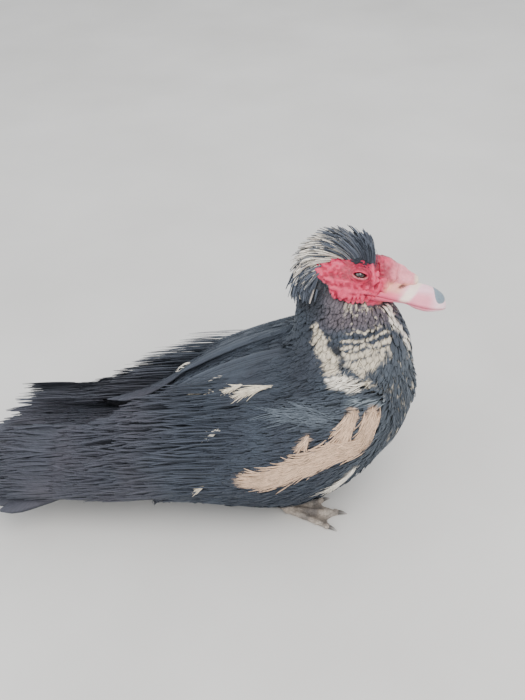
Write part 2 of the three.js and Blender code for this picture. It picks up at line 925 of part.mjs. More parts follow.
// The head's smooth forms, which the neck and the bill are cut clear of.
const headForms = (grow) => [
  headCore(grow),
  ...mound(grow),
  ...knob(grow),
  ...SIDES.map(([, side]) => lidPad(side, grow)),
];
const headGrown = union(headForms(GAP));
const headCuts = union(
  SIDES.flatMap(([, side]) => [eyeSolid(side, GAP), lidOpening(side), mouthGroove(side)]),
);
const headDetail = union([...SIDES.flatMap(([, side]) => caruncles(side)), ...crest()]);
const tailGrown = tailSolid(GAP);
const billGrown = union([billSolid(true, GAP), billSolid(false, GAP)]);

add("torso", torsoSolid(0), "feather");
add(
  "neck",
  neckSolid(0).subtract(torsoGrown).subtract(headGrown).subtract(billGrown),
  "feather",
);
const detailClear = headDetail.subtract(neckGrown).subtract(billGrown);
add("head", union([...headForms(0), detailClear]).subtract(headCuts), "face");
const nailBall = (grow) =>
  ellipsoid(NAIL.at, NAIL.radii.clone().addScalar(grow), 2, headFrame);
const upperCuts = union([headGrown, nailBall(GAP), ...nostrils]);
add("bill_upper", billSolid(true).subtract(upperCuts), "bill");
add("bill_nail", billSolid(true).intersect(nailBall(0)), "bill");
add("bill_lower", billSolid(false).subtract(headGrown), "bill");
add("tail", tailSolid(0).subtract(torsoGrown), "feather");
for (const [name, side] of SIDES) {
  add(`eye_${name}`, eyeSolid(side, 0), "eye");
  add(
    `wing_${name}`,
    wingSolid(side)
      .subtract(torsoGrown)
      .subtract(neckGrown)
      .subtract(tailGrown),
    "feather",
  );
  add(`foot_${name}`, footSolid(side).subtract(torsoGrown), "foot");
  const shank = shankSolid(side).subtract(torsoGrown).subtract(footSolid(side, GAP));
  add(`leg_${name}`, shank, "foot");
  for (const toe of TOES) add(`claw_${name}_${toe.name}`, clawSolid(toe, side), "foot");
  add(`claw_${name}_hind`, hindClaw(side).subtract(torsoGrown), "foot");
}

// The origin is on the ground, under the middle of the bird.
const box = new THREE.Box3().setFromObject(bird);
const middle = box.getCenter(vector(0, 0, 0));
bird.position.set(-middle.x, -middle.y, -box.min.z);

export default bird;
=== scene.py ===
"""A life-size muscovy drake at rest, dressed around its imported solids.

Places are worked out in millimetres in the bird's own frame: +X to the bill, +Y to its left, +Z up, and the
ground at 0. Mesh makers turn them into metres in the part's frame.
"""
import math

import bpy
import numpy as np
import openvdb
from mathutils import Matrix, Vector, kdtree


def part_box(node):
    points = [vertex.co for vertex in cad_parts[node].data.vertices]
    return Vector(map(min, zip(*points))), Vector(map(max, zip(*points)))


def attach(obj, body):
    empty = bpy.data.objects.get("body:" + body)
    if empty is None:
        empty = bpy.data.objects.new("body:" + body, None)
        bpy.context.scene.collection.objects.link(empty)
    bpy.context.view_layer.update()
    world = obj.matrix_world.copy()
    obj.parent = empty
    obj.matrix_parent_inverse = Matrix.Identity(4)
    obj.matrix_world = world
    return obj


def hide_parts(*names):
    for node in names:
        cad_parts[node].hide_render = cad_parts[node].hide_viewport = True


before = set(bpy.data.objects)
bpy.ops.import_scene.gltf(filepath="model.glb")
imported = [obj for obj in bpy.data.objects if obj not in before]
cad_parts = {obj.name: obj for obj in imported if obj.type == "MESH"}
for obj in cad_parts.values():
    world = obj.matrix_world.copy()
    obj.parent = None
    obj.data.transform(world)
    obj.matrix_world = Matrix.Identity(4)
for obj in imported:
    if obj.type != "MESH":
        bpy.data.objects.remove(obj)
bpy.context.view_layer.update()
rng = np.random.default_rng(20417)
MM = 0.001

# Outlines shared with the solids, in millimetres
TORSO = [  # x, back, belly, half width
    (-238, 104, 54, 46), (-214, 116, 42, 62), (-180, 134, 28, 80), (-130, 172, 12, 95), (-65, 213, -3, 103),
    (0, 240, -4, 107), (45, 254, 16, 103), (85, 256, 48, 92), (118, 246, 82, 72), (141, 220, 114, 47),
    (154, 186, 152, 14),
]
CLOAK = [  # x, top, bottom, half width of the folded wings
    (-350, 134, 26, 98), (-300, 135, 26, 100), (-240, 130, 22, 98), (-180, 147, 22, 105),
    (-120, 190, 18, 112), (-60, 223, 9, 117), (0, 247, 4, 118), (45, 260, 20, 114), (85, 261, 48, 101),
    (118, 249, 82, 81), (136, 232, 104, 62),
]
NECK = [  # height, x of the middle, half depth, half width
    (150, 76, 77, 74), (190, 81, 75, 66), (230, 81, 71, 56), (262, 77, 66, 46), (290, 71, 58, 37),
    (310, 65, 49, 29), (326, 60, 35, 19),
]
HEAD = [  # x, middle, half height, half width, in the head's frame
    (-47, 3, 7, 7), (-41, 3, 18, 15), (-24, 1, 27, 23), (0, 0, 29, 25.5), (18, -1, 26, 22), (32, -1, 21, 17),
    (44, -3, 15, 13),
]
BILL = [  # x, ridge, line of the mouth, underside, half width
    (34, 10, -13.5, -21.5, 13), (50, 10.5, -14.5, -19.5, 14), (62, 10.5, -15, -18, 14.5),
    (72, 10, -15.5, -18, 15.5), (84, 8.6, -17, -21.5, 16.3), (96, 7.2, -17.5, -22.5, 16.5),
    (107, 3.6, -16.5, -20.5, 14.5), (114.5, -1.6, -15.5, -18, 10), (118.5, -8, -14.5, -16, 4.5),
]
WING_EDGE = [  # x, lower and upper edge of the wing's body as elevations on the cloak
    (-165, -22, 66), (-120, -28, 76), (-60, -34, 80), (0, -37, 79), (40, -38, 72), (90, -34, 52),
    (118, -20, 30), (132, -6, 12),
]
HEAD_AT = np.array([72.0, 0, 330])
HEAD_PITCH = math.radians(13)
HEAD_ROLL = math.radians(-28)
EYE_AT = np.array([10, 19.6, 7])
EYE_RADIUS = 7.5
COAT = 8.0  # depth of the body's coat


def turn_x(a):
    c, s = math.cos(a), math.sin(a)
    return np.array([[1, 0, 0], [0, c, -s], [0, s, c]])


def turn_y(a):
    c, s = math.cos(a), math.sin(a)
    return np.array([[c, 0, s], [0, 1, 0], [-s, 0, c]])


HEAD_TURN = turn_y(HEAD_PITCH) @ turn_x(HEAD_ROLL)


def to_head(p):
    return (p - HEAD_AT) @ HEAD_TURN


def from_head(q):
    return q @ HEAD_TURN.T + HEAD_AT


# The part's frame lies beside the bird's own, by what the right eye shows.
eye_middle = np.mean(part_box("eye_right"), axis=0)
eye_right = from_head(EYE_AT * [1, -1, 1]) * MM
SHIFT = np.array([eye_middle[0] - eye_right[0], eye_middle[1] - eye_right[1], 0])


# Numbers

class Profile:
    """Smooth columns over a rising first column."""

    def __init__(self, rows):
        rows = np.array(rows, float)
        self.t = rows[:, 0]
        self.v = rows[:, 1:]
        gap = np.diff(self.t)[:, None]
        rise = np.diff(self.v, axis=0) / gap
        slope = np.empty_like(self.v)
        slope[0] = rise[0]
        slope[-1] = rise[-1]
        slope[1:-1] = (gap[:-1] * rise[1:] + gap[1:] * rise[:-1]) / (gap[:-1] + gap[1:])
        self.slope = slope

    def __call__(self, t):
        t = np.clip(t, self.t[0], self.t[-1])
        k = np.clip(np.searchsorted(self.t, t, side="right") - 1, 0, len(self.t) - 2)
        h = (self.t[k + 1] - self.t[k])[..., None]
        s = (t - self.t[k])[..., None] / h
        made = (
            (2 * s**3 - 3 * s**2 + 1) * self.v[k]
            + (s**3 - 2 * s**2 + s) * h * self.slope[k]
            + (3 * s**2 - 2 * s**3) * self.v[k + 1]
            + (s**3 - s**2) * h * self.slope[k + 1]
        )
        return np.moveaxis(made, -1, 0)

    def past(self, t):
        """How far t lies beyond the rows, below 0 between them."""
        return np.maximum(self.t[0] - t, t - self.t[-1])


torso_at = Profile(TORSO)
cloak_at = Profile(CLOAK)
neck_at = Profile(NECK)
head_at = Profile(HEAD)
bill_at = Profile(BILL)
edge_at = Profile(WING_EDGE)


def unit(v):
    return v / np.maximum(np.linalg.norm(v, axis=-1, keepdims=True), 1e-9)


def flat_to(way, normal):
    """The part of a way that lies along a surface, at unit length."""
    return unit(way - (way * normal).sum(-1, keepdims=True) * normal)


def strayed(way, normal, degrees):
    """Ways turned at random about their normals."""
    turn = np.radians(degrees) * rng.standard_normal(len(way))[:, None]
    return way * np.cos(turn) + np.cross(normal, way) * np.sin(turn)


def folded(p):
    """Points with the right side laid on the left."""
    p = p.copy()
    p[..., 1] = np.abs(p[..., 1])
    return p


def smooth(a, b, t):
    s = np.clip((t - a) / (b - a), 0, 1)
    return s * s * (3 - 2 * s)


def mix(a, b, s):
    return a + (b - a) * s


def over(colour, ink, share):
    """A colour with an ink laid over it."""
    return mix(colour, ink, share[..., None])


def blend(a, b, k):
    """The lower of two levels, rounded over k where they meet."""
    h = np.clip(0.5 + 0.5 * (b - a) / k, 0, 1)
    return b + (a - b) * h - k * h * (1 - h)


def carve(a, b, k):
    """Level a with the form of level b taken out."""
    return -blend(-a, b, k)


def linear(colour):
    """Scene-linear values of a colour written as it looks, 0 to 255."""
    c = np.asarray(colour, float) / 255
    return np.where(c <= 0.04045, c / 12.92, ((c + 0.055) / 1.055) ** 2.4)


# Smooth noise from a fixed lattice of random values.
LATTICE = rng.random((32, 32, 32))


def noise(p, size):
    """Noise from -1 to 1 that varies over the given size in millimetres."""
    q = np.asarray(p) / size + 100.37
    base = np.floor(q).astype(int)
    f = q - base
    f = f * f * (3 - 2 * f)
    total = 0
    for i in (0, 1):
        for j in (0, 1):
            for k in (0, 1):
                w = (
                    (f[..., 0] if i else 1 - f[..., 0])
                    * (f[..., 1] if j else 1 - f[..., 1])
                    * (f[..., 2] if k else 1 - f[..., 2])
                )
                total = total + w * LATTICE[
                    (base[..., 0] + i) % 32, (base[..., 1] + j) % 32, (base[..., 2] + k) % 32
                ]
    return 2 * total - 1


def to_segment(p, a, b):
    """Distance from points to a segment, and the share of it where each is nearest."""
    ab = b - a
    s = np.clip(((p - a) @ ab) / (ab @ ab), 0, 1)
    return np.linalg.norm(p - a - s[..., None] * ab, axis=-1), s


def from_line(p, line):
    """Distance from points to a line of segments."""
    line = np.array(line, float)
    best = np.full(p.shape[:-1], 1e9)
    for a, b in zip(line[:-1], line[1:]):
        best = np.minimum(best, to_segment(p, a, b)[0])
    return best


def round_angles(count):
    return np.linspace(0, 2 * math.pi, count, endpoint=False)


# Levels: rough distances to the bird's forms, below 0 inside

def oval(a, b, ra, rb):
    r = np.sqrt((a / ra) ** 2 + (b / rb) ** 2 + 1e-12)
    g = np.sqrt((a / ra**2) ** 2 + (b / rb**2) ** 2 + 1e-16)
    return (r - 1) * r / g


def closed(across, past):
    """Closes a tube's level at its ends."""
    outside = np.hypot(np.maximum(across, 0), np.maximum(past, 0))
    return np.where((across > 0) & (past > 0), outside, np.maximum(across, past))


def lengthwise(p, at):
    top, bottom, half = at(p[..., 0])
    across = oval(p[..., 1], p[..., 2] - (top + bottom) / 2, half, (top - bottom) / 2)
    return closed(across, at.past(p[..., 0]))


def neck_level(p):
    x, deep, wide = neck_at(p[..., 2])
    return closed(oval(p[..., 0] - x, p[..., 1], deep, wide), neck_at.past(p[..., 2]))


def ball(q, centre, radii):
    d = q - np.asarray(centre, float)
    r = np.asarray(radii, float)
    k0 = np.sqrt(((d / r) ** 2).sum(-1) + 1e-12)
    k1 = np.sqrt(((d / r**2) ** 2).sum(-1) + 1e-16)
    return k0 * (k0 - 1) / k1


def body_form(p):
    """The outline of trunk and neck, out to the tips of their coat."""
    return blend(lengthwise(p, torso_at), neck_level(p), 22)


def elevation(p):
    """Degrees round the cloak from its side to its top."""
    top, bottom, half = cloak_at(p[..., 0])
    tall = (top - bottom) / 2
    return np.degrees(np.arctan2((p[..., 2] - (top + bottom) / 2) / tall, np.abs(p[..., 1]) / half))


def cloak_form(p):
    return lengthwise(p, cloak_at)


WING_DEPTH = 10.0
DEGREE = 1.9  # rough length of one degree of elevation


def wing_flesh(p):
    lower, upper = edge_at(p[..., 0])
    e = elevation(p)
    aside = np.maximum(lower - e, e - upper) * DEGREE + 6
    return np.maximum(np.maximum(cloak_form(p) + WING_DEPTH, aside), edge_at.past(p[..., 0]) + 8)


# The knob over the bill's base, as lobes: centre and radii in the head's frame.
KNOB = [
    ((37, 0, 17.3), (21, 14, 15)), ((54, -1, 13.6), (17, 12.5, 12.2)), ((70.5, 0, 9.6), (12, 11, 9.4)),
    ((46, 8, 9), (13, 9, 10)), ((64, -6.5, 9.5), (10, 7, 6.5)), ((45, -7, 10), (12, 8, 10)),
    ((30, 8, 24), (9, 7, 7)), ((28, -7, 25), (9, 7, 7)), ((60, 6.5, 10.5), (9, 6, 6.5)),
]
CREST_CORE = [((-4, 0, 26), (34, 13, 12)), ((-40, 0, 8), (14, 13, 21))]
LID_PAD = (12, 9, 10)
LID_OPENING = (8.2, 6, 3.2)
LID_OUT = 8.0
MOUTH_LINE = -14.4
HEAD_MIDDLE = np.array([20, 0, 0])
RUMP = ((-228, 0, 72), (54, 46, 14))


def head_core(q):
    mid, tall, half = head_at(q[..., 0])
    return closed(oval(q[..., 1], q[..., 2] - mid, half, tall), head_at.past(q[..., 0]))


def head_plain(q):
    level = head_core(q)
    for centre, radii in CREST_CORE:
        level = blend(level, ball(q, centre, radii) + 1.5, 6)
    for centre, radii in KNOB:
        level = blend(level, ball(q, centre, radii), 2.6)
    return blend(level, ball(folded(q), EYE_AT, LID_PAD), 4)


def head_point(x, e, side, lift=0.0):
    mid, tall, half = head_at(np.asarray(x, float))
    a = np.radians(e)
    return np.stack([x, side * (half + lift) * np.cos(a), mid + (tall + lift) * np.sin(a)], -1)


# Bulbs and folds of the bare face: rows with a count, both ends as x and elevation, and radii.
CARUNCLES = [
    (15, (34, -36), (-34, -38), (2.7, 2.4, 5.6)),
    (12, (30, -50), (-24, -54), (2.6, 2.4, 4.2)),
    (5, (29, 0), (23, 50), (2.2, 2.6, 5.5)),
    (4, (35, -14), (31, 30), (2.6, 2.4, 4.0)),
    (3, (14, -25), (-14, -24), (11, 2.2, 2.6)),
    (3, (6, -8), (-20, -6), (8, 1.8, 2.0)),
    (3, (-16, 30), (-36, 4), (7, 2.4, 3.2)),
    (4, (24, -28), (40, -34), (2.4, 2.2, 2.8)),
    (6, (-20, 18), (-42, -22), (3.0, 2.2, 3.4)),
]
PAPULES = [  # how many, between which x, between which elevations, radius
    (46, (28, 46), (-34, 30), 1.3), (40, (-30, 30), (-34, -8), 1.6), (26, (-38, -12), (-10, 40), 1.7),
    (16, (8, 28), (14, 44), 1.4),
]
CREASES = [  # grooves of the face: half width, depth, points in the head's frame, mirrored
    (1.3, 2.6, [(28, 9, 27), (29.8, 11.9, 21.9), (32.5, 14.1, 10.1), (33.4, 16.7, 0.1), (31.5, 17.4, -5)]),
    (1.1, 1.8, [(52, 12, 5), (58.5, 12.5, 5.4), (63.9, 12.7, 3.2), (70, 10.5, 1.6)]),
    (0.9, 0.9, [(20, 20, 14), (8, 23, 18), (-6, 22, 17)]),
    (0.9, 0.9, [(22, 20, 2), (12, 23, -2), (0, 24, -1), (-10, 23, 4)]),
    (0.8, 0.8, [(-12, 22, 10), (-22, 20, 8), (-32, 17, 10)]),
    (0.9, 0.8, [(-14, 22, -3), (-24, 19, -6), (-32, 15, -5)]),
    (0.8, 0.8, [(44, 11, 16), (43, 14, 8), (44, 14, 0)]),
    (0.7, 0.7, [(40, 12, 20), (50, 12, 16), (58, 11, 17)]),
    (1.3, 1.8, [(56, 4, 25), (55.4, 8.8, 22.1), (54.4, 12.8, 17.2), (54.3, 13.2, 11.5), (54, 11, 6)]),
    (0.8, 0.9, [(36, 11, 26), (38, 14, 17), (42, 13, 9)]),
]


def face_bulbs():
    made = []
    for side in (1, -1):
        for count, x_range, e_range, radius in PAPULES:
            for _ in range(count):
                place = head_point(rng.uniform(*x_range), rng.uniform(*e_range), side, -0.4)
                made.append((place, radius * rng.uniform(0.7, 1.4, 3)))
    for side in (1, -1):
        for count, start, end, radii in CARUNCLES:
            for k in range(count):
                s = (k + 0.25 * rng.standard_normal() * (count > 4)) / max(count - 1, 1)
                x = mix(start[0], end[0], s)
                e = mix(start[1], end[1], s) + 2.5 * rng.standard_normal()
                size = np.array(radii) * (1 + 0.22 * rng.standard_normal(3)).clip(0.6, 1.5)
                made.append((head_point(x, e, side, -0.6), size))
    return made


BULBS = face_bulbs()


def head_folds(q, level):
    """The bare head's level with its folds, lids and mouth line added."""
    for centre, radii in BULBS:
        near = np.abs(q - centre).max(-1) < radii.max() + 6
        level[near] = blend(level[near], ball(q[near], centre, radii), 1.3)
    aside = folded(q)
    for width, depth, line in CREASES:
        level = level + depth * np.exp(-((from_line(aside, line) / width) ** 2))
    for side in (1, -1):
        eye = EYE_AT * [1, side, 1]
        r = np.linalg.norm((q - eye) * [1, 1, 1.35], axis=-1)
        ring = np.exp(-(((r - 12.5) / 5) ** 2)) * (side * q[..., 1] > 8)
        level = level - 0.28 * ring * np.sin(r * 2.6)
        opening = ball(q, eye + [0, side * LID_OUT, 0], LID_OPENING)
        rim = np.exp(-((opening / 1.1) ** 2)) * (side * q[..., 1] > 12)
        level = carve(level - 0.75 * rim, opening, 0.5)
        level = carve(level, ball(q, eye, np.full(3, EYE_RADIUS - 0.1)), 0.2)
    lumps = 0.8 * noise(q, 6.5) * smooth(28, 38, q[..., 0])
    grain = 0.45 * noise(q, 2.6) + 0.25 * noise(q, 1.2) + lumps
    level = level - grain * smooth(-46, -40, q[..., 0])
    off_line = np.abs(q[..., 2] - MOUTH_LINE) - 0.5
    mouth = np.maximum(off_line, np.maximum(19 - q[..., 0], 12 - aside[..., 1]))
    return carve(level, mouth, 0.6)


def head_level(q):
    level = head_plain(q)
    close = (level > -11) & (level < 5)
    level[close] = head_folds(q[close], level[close])
    return level


def skin_level(p):
    level = blend(body_form(p) + COAT, wing_flesh(p), 8)
    q = to_head(p)
    near = np.abs(q - HEAD_MIDDLE).max(-1) < 100
    level[near] = blend(level[near], head_level(q[near]), 5)
    return level


def slope(level, p, step=0.4):
    base = level(p)
    grad = np.stack([level(p + step * axis) - base for axis in np.eye(3)], -1) / step
    return base, grad


def settle(level, p, height=0.0, rounds=2):
    """Moves points to a height over a level's surface, and gives the outward normal there."""
    grad = None
    for _ in range(rounds):
        base, grad = slope(level, p)
        size = np.maximum((grad**2).sum(-1), 0.05)
        step = np.clip((base - height) / size, -12, 12)
        p = p - step[..., None] * grad
    return p, unit(grad)


# Meshes

SIDES = ((1, "left"), (-1, "right"))


def in_scene(name, data):
    made = bpy.data.objects.new(name, data)
    bpy.context.scene.collection.objects.link(made)
    return made


def mesh_object(name, points, faces, material):
    """A mesh from points in millimetres and a list of index arrays, one for each count of corners."""
    mesh = bpy.data.meshes.new(name)
    points = points * MM + SHIFT
    mesh.vertices.add(len(points))
    mesh.vertices.foreach_set("co", points.astype(np.float32).ravel())
    corners = np.concatenate([f.ravel() for f in faces]).astype(np.int32)
    sizes = np.concatenate([np.full(len(f), f.shape[1]) for f in faces])
    starts = np.concatenate([[0], np.cumsum(sizes)[:-1]]).astype(np.int32)
    mesh.loops.add(len(corners))
    mesh.loops.foreach_set("vertex_index", corners)
    mesh.polygons.add(len(sizes))
    mesh.polygons.foreach_set("loop_start", starts)
    mesh.update(calc_edges=True)
    mesh.validate()
    mesh.shade_smooth()
    mesh.materials.append(material)
    return in_scene(name, mesh)


def tint(made, colours):
    """Stores a colour on every vertex."""
    layer = made.data.color_attributes.new("Tint", "FLOAT_COLOR", "POINT")
    rgba = np.ones((len(colours), 4), np.float32)
    rgba[:, :3] = colours
    layer.data.foreach_set("color", rgba.ravel())


def uv_map(made, name, places):
    """Stores a map place for every vertex on the corners that use it."""
    layer = made.data.uv_layers.new(name=name)
    corner = np.empty(len(made.data.loops), np.int32)
    made.data.loops.foreach_get("vertex_index", corner)
    layer.data.foreach_set("uv", places[corner].astype(np.float32).ravel())


def dress(piece, slot="plumage", *nodes):
    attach(piece, "root")
    if nodes:
        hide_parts(*nodes)


PATCH = 0.003  # size of a tuft on the skin's unwrap
FLOOR_GAP = 0.3
RIB = 0.5  # height of a vane's middle rib, as a share of its thickness


def vanes(name, paths, normals, widths, thick, colours, places, material, camber=0.1):
    """Closed, thin vanes along paths. paths and normals: count, stations, 3. widths: count, stations.
    colours: count, stations, across, 3. places: count, 2, on the skin's unwrap."""
    count, stations = paths.shape[:2]
    across = colours.shape[2]
    ring = 2 * across - 2
    along = np.gradient(paths, axis=1)
    side = unit(np.cross(unit(along), normals))
    face = unit(np.cross(side, along))
    a = np.linspace(-1, 1, across)
    half = widths[..., None] / 2
    drop = camber * half * a**2 * 2
    bulk = np.linspace(thick, thick * 0.4, stations)[None, :, None]
    rib = RIB * bulk * np.exp(-((a / 0.25) ** 2))
    top = paths[:, :, None] + side[:, :, None] * (half * a)[..., None]
    top = top + face[:, :, None] * (rib - drop)[..., None]
    under = top[:, :, 1:-1] - face[:, :, None] * (bulk * (1 - a[1:-1] ** 2 * 0.5))[..., None]
    points = np.concatenate([top, under[:, :, ::-1]], axis=2)
    points[..., 2] = np.maximum(points[..., 2], FLOOR_GAP)
    # The undersides take 0.8 of the colour, a painted shade.
    paint = np.concatenate([colours, colours[:, :, 1:-1][:, :, ::-1] * 0.8], axis=2)
    k = np.arange(ring)
    j = np.arange(stations - 1)
    start = (np.arange(count) * stations * ring)[:, None, None]
    here = start + (j[:, None] * ring + k)
    beside = start + (j[:, None] * ring + (k + 1) % ring)
    quads = np.stack([here, here + ring, beside + ring, beside], -1).reshape(-1, 4)
    first = start[:, 0] + k
    last = start[:, 0] + (stations - 1) * ring + k[::-1]
    made = mesh_object(name, points.reshape(-1, 3), [quads, np.concatenate([first, last])], material)
    tint(made, paint.reshape(-1, 3))
    at_a = np.concatenate([a, a[1:-1][::-1]])
    s = np.linspace(0, 1, stations)
    local = np.stack(np.broadcast_arrays(at_a[None, :] / 2, s[:, None] - 0.5), -1)
    uv_map(made, "OFBake", (places[:, None, None] + local * PATCH).reshape(-1, 2))
    length = np.linalg.norm(np.diff(paths, axis=1), axis=-1).sum(1)
    vane = np.stack(np.broadcast_arrays(half * at_a, s[None, :, None] * length[:, None, None]), -1)
    uv_map(made, "Vane", vane.reshape(-1, 2))
    return made


def lay(level, roots, heading, length, heights, sway):
    """Paths that follow a level's surface. heights: count, stations, over that surface."""
    stations = heights.shape[1]
    p, n = settle(level, roots, heights[:, 0])
    t = flat_to(heading, n)
    paths = [p]
    normals = [n]
    step = (length / (stations - 1))[:, None]
    for j in range(1, stations):
        t = unit(t + sway * np.cross(n, t) / (stations - 1))
        ahead, n_new = settle(level, p + t * step, heights[:, j], 1)
        t = unit(ahead - p)
        p, n = ahead, n_new
        paths.append(p)
        normals.append(n)
        t = flat_to(t, n)
    return np.stack(paths, 1), np.stack(normals, 1)


def thin_out(points, spacing):
    """Indices of a random choice of points that keep their spacing."""
    tree = kdtree.KDTree(len(points))
    for i, p in enumerate(points):
        tree.insert(p, i)
    tree.balance()
    free = np.ones(len(points), bool)
    kept = []
    for i in rng.permutation(len(points)):
        if not free[i]:
            continue
        kept.append(i)
        for _, k, _ in tree.find_range(points[i], spacing[i]):
            free[k] = False
    return np.array(kept)


# Colours, as they look, and markings

SLATE = linear((56, 61, 71))
SLATE_BLUE = linear((68, 76, 87))
SLATE_BROWN = linear((70, 68, 76))
SHOULDER = linear((80, 87, 95))
# light blue-grey of a painted sheen on the shoulders
SHOULDER_SHEEN_PAINT = linear((86, 93, 101))
# lighter blue-grey for streaks of painted sheen
SHEEN_STREAK_PAINT = linear((122, 131, 138))
BLACK = linear((40, 43, 50))
CREST_DARK = linear((72, 77, 87))
CREAM = linear((204, 192, 171))
CREAM_PALE = linear((230, 222, 208))
TAN = linear((202, 170, 143))
NECK_BROWN = linear((92, 84, 90))
GREY_CREAM = linear((164, 154, 146))
FACE_RED = linear((188, 24, 68))
# deep red of the painted shade in the face's creases
FACE_CREASE_SHADE = linear((110, 6, 28))
FACE_PINK = linear((230, 94, 124))
KNOB_PINK = linear((253, 164, 174))
KNOB_PALE = linear((252, 236, 208))
YELLOW_SKIN = linear((240, 180, 140))
BILL_PINK = linear((252, 200, 212))
BILL_BAND = linear((250, 232, 214))
HORN_BLUE = linear((122, 137, 148))
HORN_PALE = linear((222, 218, 212))
FOOT_SKIN = linear((168, 155, 142))
FOOT_DARK = linear((120, 112, 106))
FOOT_PALE = linear((196, 184, 170))
CLAW_DARK = linear((70, 66, 62))
LID_RIM = linear((222, 150, 150))
BILL_TIP = linear((250, 232, 232))
# painted shade for the inside of the nostrils
NOSTRIL_SHADE = linear((80, 46, 40))
IRIS = linear((50, 38, 30))
IRIS_EDGE = linear((38, 28, 22))
PUPIL = linear((8, 8, 10))
EYE_RING = linear((24, 18, 16))

# Marks on each side of the neck: colour, half width, and a line of points as x, distance from the middle, z.
NECK_MARKS = [
    (CREAM, 5.0, [(37, 31, 281), (40, 36, 272)]),
    (CREAM, 9.5, [(41, 38, 266), (46, 41, 256), (50, 48, 248), (54, 58, 241)]),
    (CREAM, 3.0, [(50, 60, 243), (53, 68, 236)]),
    (CREAM_PALE, 8.0, [(56, 69, 233), (69, 72, 231), (80, 72, 229)]),
    (CREAM, 4.5, [(94, 68, 229), (108, 61, 216), (121, 55, 211)]),
    # a streak of painted sheen in light blue-grey
    (SHEEN_STREAK_PAINT, 4.5, [(75, 85, 214), (92, 81, 213), (109, 77, 205)]),
    (CREAM_PALE, 5.0, [(117, 14, 300), (123, 17, 288), (130, 19, 274), (139, 17, 259), (147, 14, 240)]),
    (CREAM, 2.6, [(125, 44, 226), (129, 45, 215), (133, 51, 196)]),
    (BLACK, 4.0, [(58, 42, 263), (67, 50, 249), (65, 57, 243)]),
    (BLACK, 3.0, [(75, 64, 237), (95, 58, 231), (115, 50, 225)]),
]
# Small marks of long hairs. Those with a distance below 0 are on the right side only.
BODY_MARKS = [
    (CREAM, 1.2, [(-118, -33, 182), (-85, -50, 205)]),
    (CREAM, 1.8, [(-77, -56, 207), (-50, -54, 218)]),
    (CREAM, 2.2, [(-62, -62, 209), (-38, -64, 218), (-16, -65, 224)]),
    (CREAM, 1.4, [(-163, -39, 157), (-150, -39, 163)]),
    (CREAM, 2.6, [(-150, -59, 160), (-136, -60, 166)]),
    (CREAM_PALE, 2.4, [(-94, 92, 168), (-78, 88, 176)]),
    (CREAM_PALE, 1.3, [(-136, 84, 152), (-130, 91, 148)]),
    (CREAM_PALE, 1.3, [(-128, 98, 147), (-121, 100, 144)]),
    (CREAM_PALE, 1.3, [(-155, 100, 116), (-145, 99, 121)]),
    (CREAM, 1.8, [(-114, 113, 97), (-101, 115, 110)]),
    (CREAM_PALE, 1.5, [(-140, 30, 170), (-122, 26, 180)]),
    (CREAM_PALE, 1.2, [(-90, -32, 209), (-76, -33, 214)]),
]
# Streaks of painted sheen on the shoulder, laid as light blue-grey hairs.
SHOULDER_SHEEN_STREAKS = [
    (SHOULDER_SHEEN_PAINT, 11.0, [(-30, 84, 196), (14, 90, 204), (56, 98, 200)]),
]
FLANK_MARKS = [
    (TAN, 5.5, [(77, 90, 205), (75, 95, 197), (69, 100, 187), (60, 105, 172)]),
    (TAN, 8.5, [(101, 86, 198), (97, 92, 184), (88, 98, 168)]),
    (TAN, 12.5, [
        (88, 98, 162), (62, 105, 160), (36, 112, 153), (8, 115, 138), (-20, 117, 124), (-46, 118, 122)]),
    (TAN, 3.0, [(26, 110, 184), (16, 113, 168)]),
    (CREAM_PALE, 2.8, [(43, 99, 83), (64, 98, 101), (82, 98, 124)]),
]


def mirrored(p):
    """Both sides alike, but with the left side's marks a little out of place."""
    left = (p[..., 1] > 0)[..., None]
    moved = p + left * np.stack([9 * noise(p, 60), 0 * p[..., 0], 9 * noise(p + 500, 60)], -1)
    return folded(moved)


def mark(colour, p, marks, ragged=2.4):
    q = mirrored(p)
    rough = ragged * (0.7 * noise(p * [1, 1, 0.6], 5) + 0.5 * noise(p, 2.4))
    for ink, radius, line in marks:
        away = from_line(q, line) + np.clip(rough, -0.5 * radius, 0.6 * radius)
        colour = over(colour, ink, 1 - smooth(radius - 1.2, radius + 1.2, away))
    return colour


